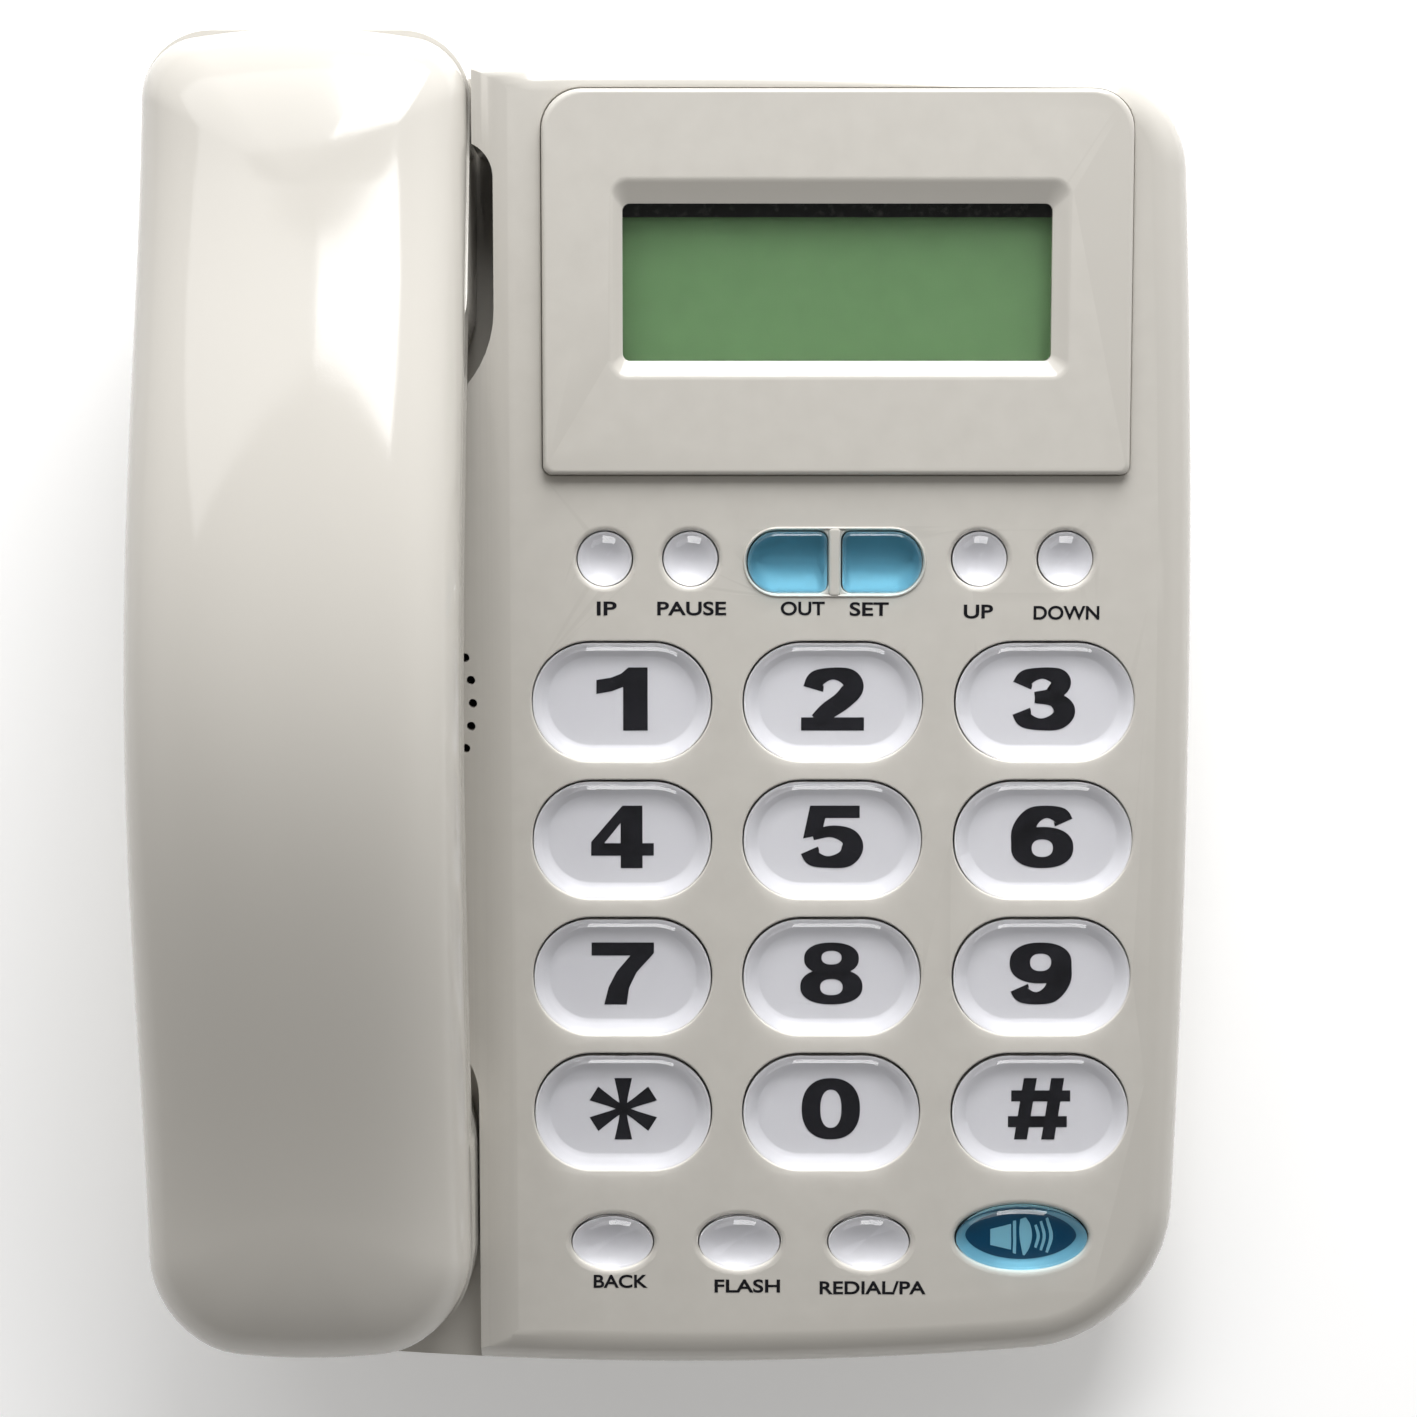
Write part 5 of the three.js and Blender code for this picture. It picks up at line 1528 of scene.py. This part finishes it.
# each figure in a unit square: the outlines that make it and those cut out of it
FIGURES = {
    "0": ([egg(0.5, 0.5, 0.5, 0.5)], [egg(0.5, 0.5, 0.18, 0.31)]),
    "1": ([corners((0.52, 0), (0.98, 0), (0.98, 1), (0.62, 1), (0.48, 0.9), (0.3, 0.84), (0.02, 0.8),
                   (0.02, 0.58), (0.3, 0.62), (0.52, 0.69))], []),
    "2": ([stroke((0.19, 0.66, 0.33), (0.25, 0.82, 0.28), (0.5, 0.905, 0.19), (0.75, 0.84, 0.29),
                  (0.82, 0.68, 0.34), (0.66, 0.48, 0.3), (0.42, 0.31, 0.28), (0.24, 0.16, 0.22)),
           corners((0, 0), (1, 0), (1, 0.21), (0, 0.21))], []),
    "3": ([stroke((0.16, 0.71, 0.31), (0.23, 0.84, 0.26), (0.47, 0.91, 0.18), (0.71, 0.85, 0.28),
                  (0.76, 0.73, 0.31), (0.63, 0.57, 0.22), (0.36, 0.525, 0.17)),
           stroke((0.36, 0.515, 0.17), (0.66, 0.49, 0.24), (0.82, 0.32, 0.34), (0.72, 0.15, 0.29),
                  (0.46, 0.09, 0.19), (0.22, 0.16, 0.26), (0.15, 0.3, 0.3))], []),
    "4": ([corners((0.47, 0), (0.82, 0), (0.82, 0.2), (1, 0.2), (1, 0.4), (0.82, 0.4), (0.82, 1), (0.5, 1),
                   (0, 0.42), (0, 0.2), (0.47, 0.2))],
          [corners((0.47, 0.4), (0.47, 0.72), (0.21, 0.4))]),
    "5": ([corners((0.05, 0.47), (0.34, 0.53), (0.4, 0.8), (0.94, 0.8), (0.94, 1), (0.16, 1)),
           stroke((0.2, 0.52, 0.16), (0.5, 0.585, 0.19), (0.76, 0.5, 0.28), (0.83, 0.33, 0.34),
                  (0.72, 0.15, 0.29), (0.45, 0.09, 0.19), (0.22, 0.15, 0.26), (0.15, 0.28, 0.3))], []),
    "6": SIX,
    "7": ([corners((0.2, 0), (0.56, 0), (0.6, 0.27), (0.72, 0.52), (1, 0.83), (1, 1), (0, 1), (0, 0.79),
                   (0.62, 0.79), (0.4, 0.53), (0.27, 0.28))], []),
    "8": ([egg(0.5, 0.74, 0.44, 0.26), egg(0.5, 0.29, 0.5, 0.29)],
          [egg(0.5, 0.755, 0.16, 0.11), egg(0.5, 0.28, 0.18, 0.13)]),
    "9": tuple(half_turned(outlines) for outlines in SIX),
    "#": ([corners((0.1, 0), (0.31, 0), (0.46, 1), (0.25, 1)),
           corners((0.54, 0), (0.75, 0), (0.9, 1), (0.69, 1)),
           corners((0, 0.2), (0.95, 0.2), (0.95, 0.38), (0, 0.38)),
           corners((0.05, 0.62), (1, 0.62), (1, 0.8), (0.05, 0.8))], []),
    "*": (star_arms(), []),
}


# the loudspeaker sign in millimetres from the middle of its key: cone, bar, cone rim and three arcs
SPEAKER_MARKS = [
    corners((-4.9, -1.3), (-1.6, -2.0), (-1.6, 1.75), (-4.9, 0.95)),
    corners((-1.3, -2.5), (-0.8, -2.6), (-0.8, 2.2), (-1.3, 2.15)),
    stroke((0.45, -2.8, 0.3), (0.7, -1.4, 1.5), (0.75, 0.0, 2.0), (0.6, 1.4, 1.8), (0.3, 2.5, 0.9)),
    stroke((2.3, 1.6, 0.4), (2.75, 0.0, 0.5), (2.3, -1.7, 0.4)),
    stroke((3.15, 2.1, 0.4), (3.7, 0.0, 0.5), (3.15, -2.1, 0.4)),
    stroke((4.1, 2.5, 0.4), (4.8, 0.0, 0.6), (4.1, -2.4, 0.4)),
]


def fitted(mesh, width, height):
    """Centres a flat drawing and stretches it to one width, height and print thickness."""
    points = [v.co for v in mesh.vertices]
    low = Vector([min(p[axis] for p in points) for axis in range(3)])
    high = Vector([max(p[axis] for p in points) for axis in range(3)])
    size = high - low
    stretch = (width / size.x, height / size.y, PRINT_THICKNESS / size.z, 1)
    mesh.transform(Matrix.Diagonal(stretch) @ Matrix.Translation(-(low + high) / 2))


def drawn_figure(name, text, width, height):
    """One figure joined from its outlines."""
    solids, holes = FIGURES[text]
    figure = build(name, [prism(solids[0], 0, 1)])
    for outline in solids[1:]:
        join(figure, [prism(outline, 0, 1)])
    for outline in holes:
        cut(figure, [prism(outline, -1, 2)])
    fitted(figure.data, width, height)
    return figure


def make_figures():
    """The black figures on the white faces of the dial keys."""
    keys = sizes("keys")
    deck = deck_frame()
    for node, text in DIAL_FIGURES.items():
        x, y, _, _ = key_place(node, DIAL_FLANGE)
        width = FIGURE_WIDTHS.get(text, FIGURE_WIDTH)
        figure = drawn_figure(node + "_figure", text, width, keys.print_height)
        height = -keys.face_depth - keys.face_drop + PRINT_THICKNESS / 2
        figure.data.transform(deck @ Matrix.Translation((x, y + FIGURE_SHIFT, height)))
        dress(figure, materials["ink"], node + "_body", "black_print")


def make_labels():
    """The function words printed on the deck beside the small keys."""
    keys = sizes("keys")
    deck = deck_frame()
    for node, (text, across, down, width) in LABELS.items():
        x, y, _, _ = key_place(node, SMALL_FLANGE)
        label = lettering(node + "_label", text, width * MM, keys.label_height, LABEL_WEIGHT)
        spot = (x + across * MM, y + down * MM, PRINT_THICKNESS / 2)
        label.data.transform(deck @ Matrix.Translation(spot))
        dress(label, materials["ink"], "base", "black_print")


def copied(name, node):
    """A piece that starts from a packed node's own shape."""
    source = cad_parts[node]
    verts = [source.matrix_world @ v.co for v in source.data.vertices]
    faces = [tuple(face.vertices) for face in source.data.polygons]
    return build(name, [(verts, faces)], merge=0.001 * MM)


def make_feet():
    """Rubber feet with a rounded edge and a dimple underneath."""
    for i in range(1, 5):
        node = f"foot_{i}"
        left, right, _, _ = extent_edges(node)
        radius, top = (right - left) / 2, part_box(node)[1].z
        section = [(radius * part, z * MM) for part, z in FOOT_SECTION]
        shape = turned([(AXIS_GAP, section[0][1]), *section, (radius, top)])
        middle = middle_of(node)
        foot = build(node + "_pad", [shape], Matrix.Translation((middle.x, middle.y, 0)))
        dress(foot, materials["rubber"], "base", "rubber", node)


def screw_shape(length):
    """A screw standing on its rounded head, with a thread up its shank."""
    radius = sizes("small_parts").screw_radius
    shank = radius * SHANK_SHARE
    profile = [(AXIS_GAP, 0), *((radius * part, z) for part, z in HEAD_SECTION)]
    profile += [(radius, HEAD_HEIGHT), (shank, HEAD_HEIGHT)]
    for i in range(int((length - HEAD_HEIGHT - THREAD_END) / THREAD_PITCH)):
        low = HEAD_HEIGHT + THREAD_START + i * THREAD_PITCH
        profile += [(shank, low), (shank * THREAD_SHARE, low + THREAD_RISE), (shank, low + 2 * THREAD_RISE)]
    return turned([*profile, (TIP_RADIUS, length)], 32)


def make_screws():
    """Screws with rounded heads, a cross recess and a thread."""
    arm, half = sizes("small_parts").screw_radius * CROSS_REACH, CROSS_HALF_WIDTH
    for node in [f"housing_screw_{i}" for i in range(1, 5)] + ["handset_screw_1", "handset_screw_2"]:
        low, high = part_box(node)
        middle = middle_of(node)
        upright = node.startswith("housing")
        length = high.z - low.z if upright else HANDSET_SCREW_LENGTH
        screw = build(node + "_cross_head", [screw_shape(length)])
        cut(screw, [block(-arm, arm, -half, half, -MM, CROSS_DEPTH)])
        cut(screw, [block(-half, half, -arm, arm, -MM, CROSS_DEPTH)])
        place = Matrix.Translation((middle.x, middle.y, low.z))
        if not upright:
            lean = handset_frame().to_3x3().to_4x4()
            place = Matrix.Translation(middle) @ lean @ Matrix.Translation((0, 0, -length / 2))
        screw.data.transform(place)
        dress(screw, materials["metal"], "base" if upright else "handset", "steel", node)


def make_battery_door():
    """The battery door with its finger grip."""
    edges = extent_edges("battery_door")
    _, right, front, back = edges
    low, high = [corner.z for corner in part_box("battery_door")]
    door = build("battery_door_cover", [prism(rounded(edges, even(DOOR_CORNER)), low, high)])
    soften(door, DOOR_EDGE, 3)
    middle = (front + back) / 2
    for i in range(GRIP_COUNT):
        x = right - GRIP_START - i * GRIP_PITCH
        groove = rounded(
            (x - GRIP_HALF_WIDTH, x + GRIP_HALF_WIDTH, middle - GRIP_HALF_LENGTH, middle + GRIP_HALF_LENGTH),
            even(GRIP_CORNER),
        )
        flare = level(offset(groove, GRIP_FLARE), low - GRIP_RUN_OUT)
        cut(door, [loft([flare, level(groove, low + GRIP_DEPTH)])])
    dress(door, materials["ivory"], "battery_cover", "ivory", "battery_door")


def make_ringer_knob():
    """The ringer knob with its ribs."""
    knob = copied("ringer_knob_ribbed", "ringer_knob")
    left, right, _, back = extent_edges("ringer_knob")
    low, high = [corner.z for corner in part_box("ringer_knob")]
    for part in RIB_PLACES:
        x = left + (right - left) * part
        groove = (x - RIB_HALF_WIDTH, x + RIB_HALF_WIDTH, back - RIB_DEPTH, back + MM)
        cut(knob, [block(*groove, low - MM, high + MM)])
    soften(knob, KNOB_EDGE, 2)
    dress(knob, materials["dark"], "ringer", "black_part", "ringer_knob")


def make_hook_plunger():
    """The hook plunger with rounded edges."""
    plunger = copied("hook_plunger_moulded", "hook_plunger")
    soften(plunger, PLUNGER_EDGE, 3)
    dress(plunger, materials["ivory"], "hook", "ivory", "hook_plunger")


def make_contacts():
    """Gilt wires in the three sockets, under each socket's roof."""
    small = sizes("small_parts")
    for node, (body, start, run) in WIRES.items():
        start, run = Vector(start) * MM, Vector(run) * MM
        across = run.cross(Vector((0, 0, 1))).normalized()
        turn = run.to_track_quat("Z", "Y").to_matrix().to_4x4()
        wire = rod(0, 0, small.contact_radius, 0, run.length, 12)
        row = [start + across * step * small.contact_pitch for step in (-1.5, -0.5, 0.5, 1.5)]
        wires = [placed(wire, Matrix.Translation(spot) @ turn) for spot in row]
        dress(build(node + "_contacts", wires), materials["brass"], body, "steel")


def give_finishes():
    """Gives the carried-over nodes their materials."""
    for node, look in CARRIED_OVER.items():
        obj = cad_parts[node]
        obj.data.materials.clear()
        obj.data.materials.append(materials[look])


def make_stage():
    """Camera, lights, surroundings and the pale floor."""
    stage = sizes("stage")
    scene = bpy.context.scene
    camera = bpy.data.objects.new("camera", bpy.data.cameras.new("camera"))
    camera.data.lens = stage.lens
    camera.data.sensor_width = SENSOR_WIDTH
    camera.data.clip_start = 0.01
    camera.location = stage.camera_spot
    scene.collection.objects.link(camera)
    scene.camera = camera
    scene.view_settings.view_transform = "Standard"

    add_light("window", *WINDOW_LIGHT, stage.window_power)
    add_light("soft_back", *BACK_LIGHT, stage.fill_power)
    make_surroundings()
    make_floor()


def make_surroundings():
    """Soft light from all round, weaker overhead and from the front."""
    stage = sizes("stage")
    world = bpy.data.worlds.new("studio")
    bpy.context.scene.world = world
    world.use_nodes = True
    tree = world.node_tree
    sky = tree.nodes["Background"]
    sky.inputs["Color"].default_value = (1.0, 0.985, 0.965, 1)
    place = add_node(tree, "ShaderNodeTexCoord").outputs["Generated"]
    way = add_node(tree, "ShaderNodeSeparateXYZ", {"Vector": place}).outputs
    fade = add_node(tree, "ShaderNodeMapRange", {
        "Value": way["Z"], "From Min": SKY_FADE[0], "From Max": SKY_FADE[1],
        "To Min": stage.horizon, "To Max": stage.zenith,
    }, interpolation_type="SMOOTHSTEP").outputs["Result"]
    front = add_node(tree, "ShaderNodeMapRange", {
        "Value": way["Y"], "From Min": SKY_FRONT[0], "From Max": SKY_FRONT[1],
        "To Min": stage.front_share, "To Max": 1.0,
    }).outputs["Result"]
    both = add_node(tree, "ShaderNodeMath", {0: fade, 1: front}, operation="MULTIPLY")
    tree.links.new(both.outputs["Value"], sky.inputs["Strength"])


def make_floor():
    """The pale floor, which glows faintly so that it stays pale."""
    stage = sizes("stage")
    ground = [Vector((x, y, 0)) * FLOOR_REACH for x, y in ((-1, -1), (1, -1), (1, 1), (-1, 1))]
    floor = build("floor", [(ground, [(0, 1, 2, 3)])])
    material, tree, shader = new_material("Studio floor")
    tones = {"Colour": opaque(stage.floor), "Other": opaque(scaled(stage.floor, 0.99)), "Scale": 5.0}
    tone = effect(tree, "drift", tones)
    tree.links.new(tone["Colour"], shader.inputs["Base Color"])
    shader.inputs["Roughness"].default_value = 0.8
    shader.inputs["Emission Color"].default_value = (1, 1, 1, 1)
    shader.inputs["Emission Strength"].default_value = FLOOR_GLOW
    floor.data.materials.append(material)


def add_light(name, spot, aim, width, height, power):
    """A rectangular light aimed at a point."""
    light = bpy.data.lights.new(name, "AREA")
    light.shape = "RECTANGLE"
    light.size, light.size_y = width, height
    light.energy = power
    obj = bpy.data.objects.new(name, light)
    obj.location = spot
    obj.rotation_euler = (Vector(aim) - Vector(spot)).to_track_quat("-Z", "Y").to_euler()
    bpy.context.scene.collection.objects.link(obj)
    return obj


# ---------------------------------------------------------------- operators, panel and registration


class PHONE_OT_upper_housing(bpy.types.Operator):
    """Builds the console's upper housing"""

    bl_idname = "phone.upper_housing"
    bl_label = "Upper Housing"

    def execute(self, context):
        make_upper_housing()
        return {"FINISHED"}


class PHONE_OT_lower_housing(bpy.types.Operator):
    """Builds the tray under the console"""

    bl_idname = "phone.lower_housing"
    bl_label = "Lower Housing"

    def execute(self, context):
        make_lower_housing()
        return {"FINISHED"}


class PHONE_OT_display(bpy.types.Operator):
    """Builds the display panel and the screen"""

    bl_idname = "phone.display"
    bl_label = "Display"

    def execute(self, context):
        make_display()
        return {"FINISHED"}


class PHONE_OT_handset(bpy.types.Operator):
    """Builds the handset's two shells"""

    bl_idname = "phone.handset"
    bl_label = "Handset"

    def execute(self, context):
        make_top_shell()
        make_bottom_shell()
        return {"FINISHED"}


class PHONE_OT_keys(bpy.types.Operator):
    """Builds the caps and faces of all keys"""

    bl_idname = "phone.keys"
    bl_label = "Keys"

    def execute(self, context):
        make_keys()
        return {"FINISHED"}


class PHONE_OT_lettering(bpy.types.Operator):
    """Prints the figures on the keys and the words on the deck"""

    bl_idname = "phone.lettering"
    bl_label = "Lettering"

    def execute(self, context):
        make_figures()
        make_labels()
        return {"FINISHED"}


class PHONE_OT_small_parts(bpy.types.Operator):
    """Makes the feet, screws, battery door, ringer knob, hook plunger and contacts"""

    bl_idname = "phone.small_parts"
    bl_label = "Small Parts"

    def execute(self, context):
        make_feet()
        make_screws()
        make_battery_door()
        make_ringer_knob()
        make_hook_plunger()
        make_contacts()
        return {"FINISHED"}


class PHONE_OT_finishes(bpy.types.Operator):
    """Makes the materials and gives them to the carried-over parts"""

    bl_idname = "phone.finishes"
    bl_label = "Finishes"

    def execute(self, context):
        make_materials()
        give_finishes()
        return {"FINISHED"}


class PHONE_OT_stage(bpy.types.Operator):
    """Sets the camera, lights and floor"""

    bl_idname = "phone.stage"
    bl_label = "Stage"

    def execute(self, context):
        make_stage()
        return {"FINISHED"}


OPERATORS = (
    PHONE_OT_finishes,
    PHONE_OT_stage,
    PHONE_OT_upper_housing,
    PHONE_OT_lower_housing,
    PHONE_OT_display,
    PHONE_OT_handset,
    PHONE_OT_keys,
    PHONE_OT_lettering,
    PHONE_OT_small_parts,
)


class PHONE_PT_build(bpy.types.Panel):
    """Lists the telephone's sizes and the steps that build it"""

    bl_idname = "PHONE_PT_build"
    bl_label = "Telephone"
    bl_space_type = "VIEW_3D"
    bl_region_type = "UI"
    bl_category = "Telephone"

    def draw(self, context):
        for name, group in GROUPS.items():
            box = self.layout.box()
            box.label(text=group.__doc__)
            for key in group.__annotations__:
                box.prop(getattr(context.scene, name), key)
        for operator in OPERATORS:
            self.layout.operator(operator.bl_idname)


CLASSES = (*GROUPS.values(), *OPERATORS, PHONE_PT_build)


def register():
    """Registers the classes and puts the sizes on the scene."""
    for cls in CLASSES:
        bpy.utils.register_class(cls)
    for name, group in GROUPS.items():
        setattr(bpy.types.Scene, name, PointerProperty(type=group))


def unregister():
    """Takes the sizes and the classes away again."""
    for name in GROUPS:
        delattr(bpy.types.Scene, name)
    for cls in reversed(CLASSES):
        bpy.utils.unregister_class(cls)


def main():
    """Builds everything in order."""
    register()
    for operator in OPERATORS:
        area, name = operator.bl_idname.split(".")
        getattr(getattr(bpy.ops, area), name)()
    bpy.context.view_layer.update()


if __name__ == "__main__":
    main()
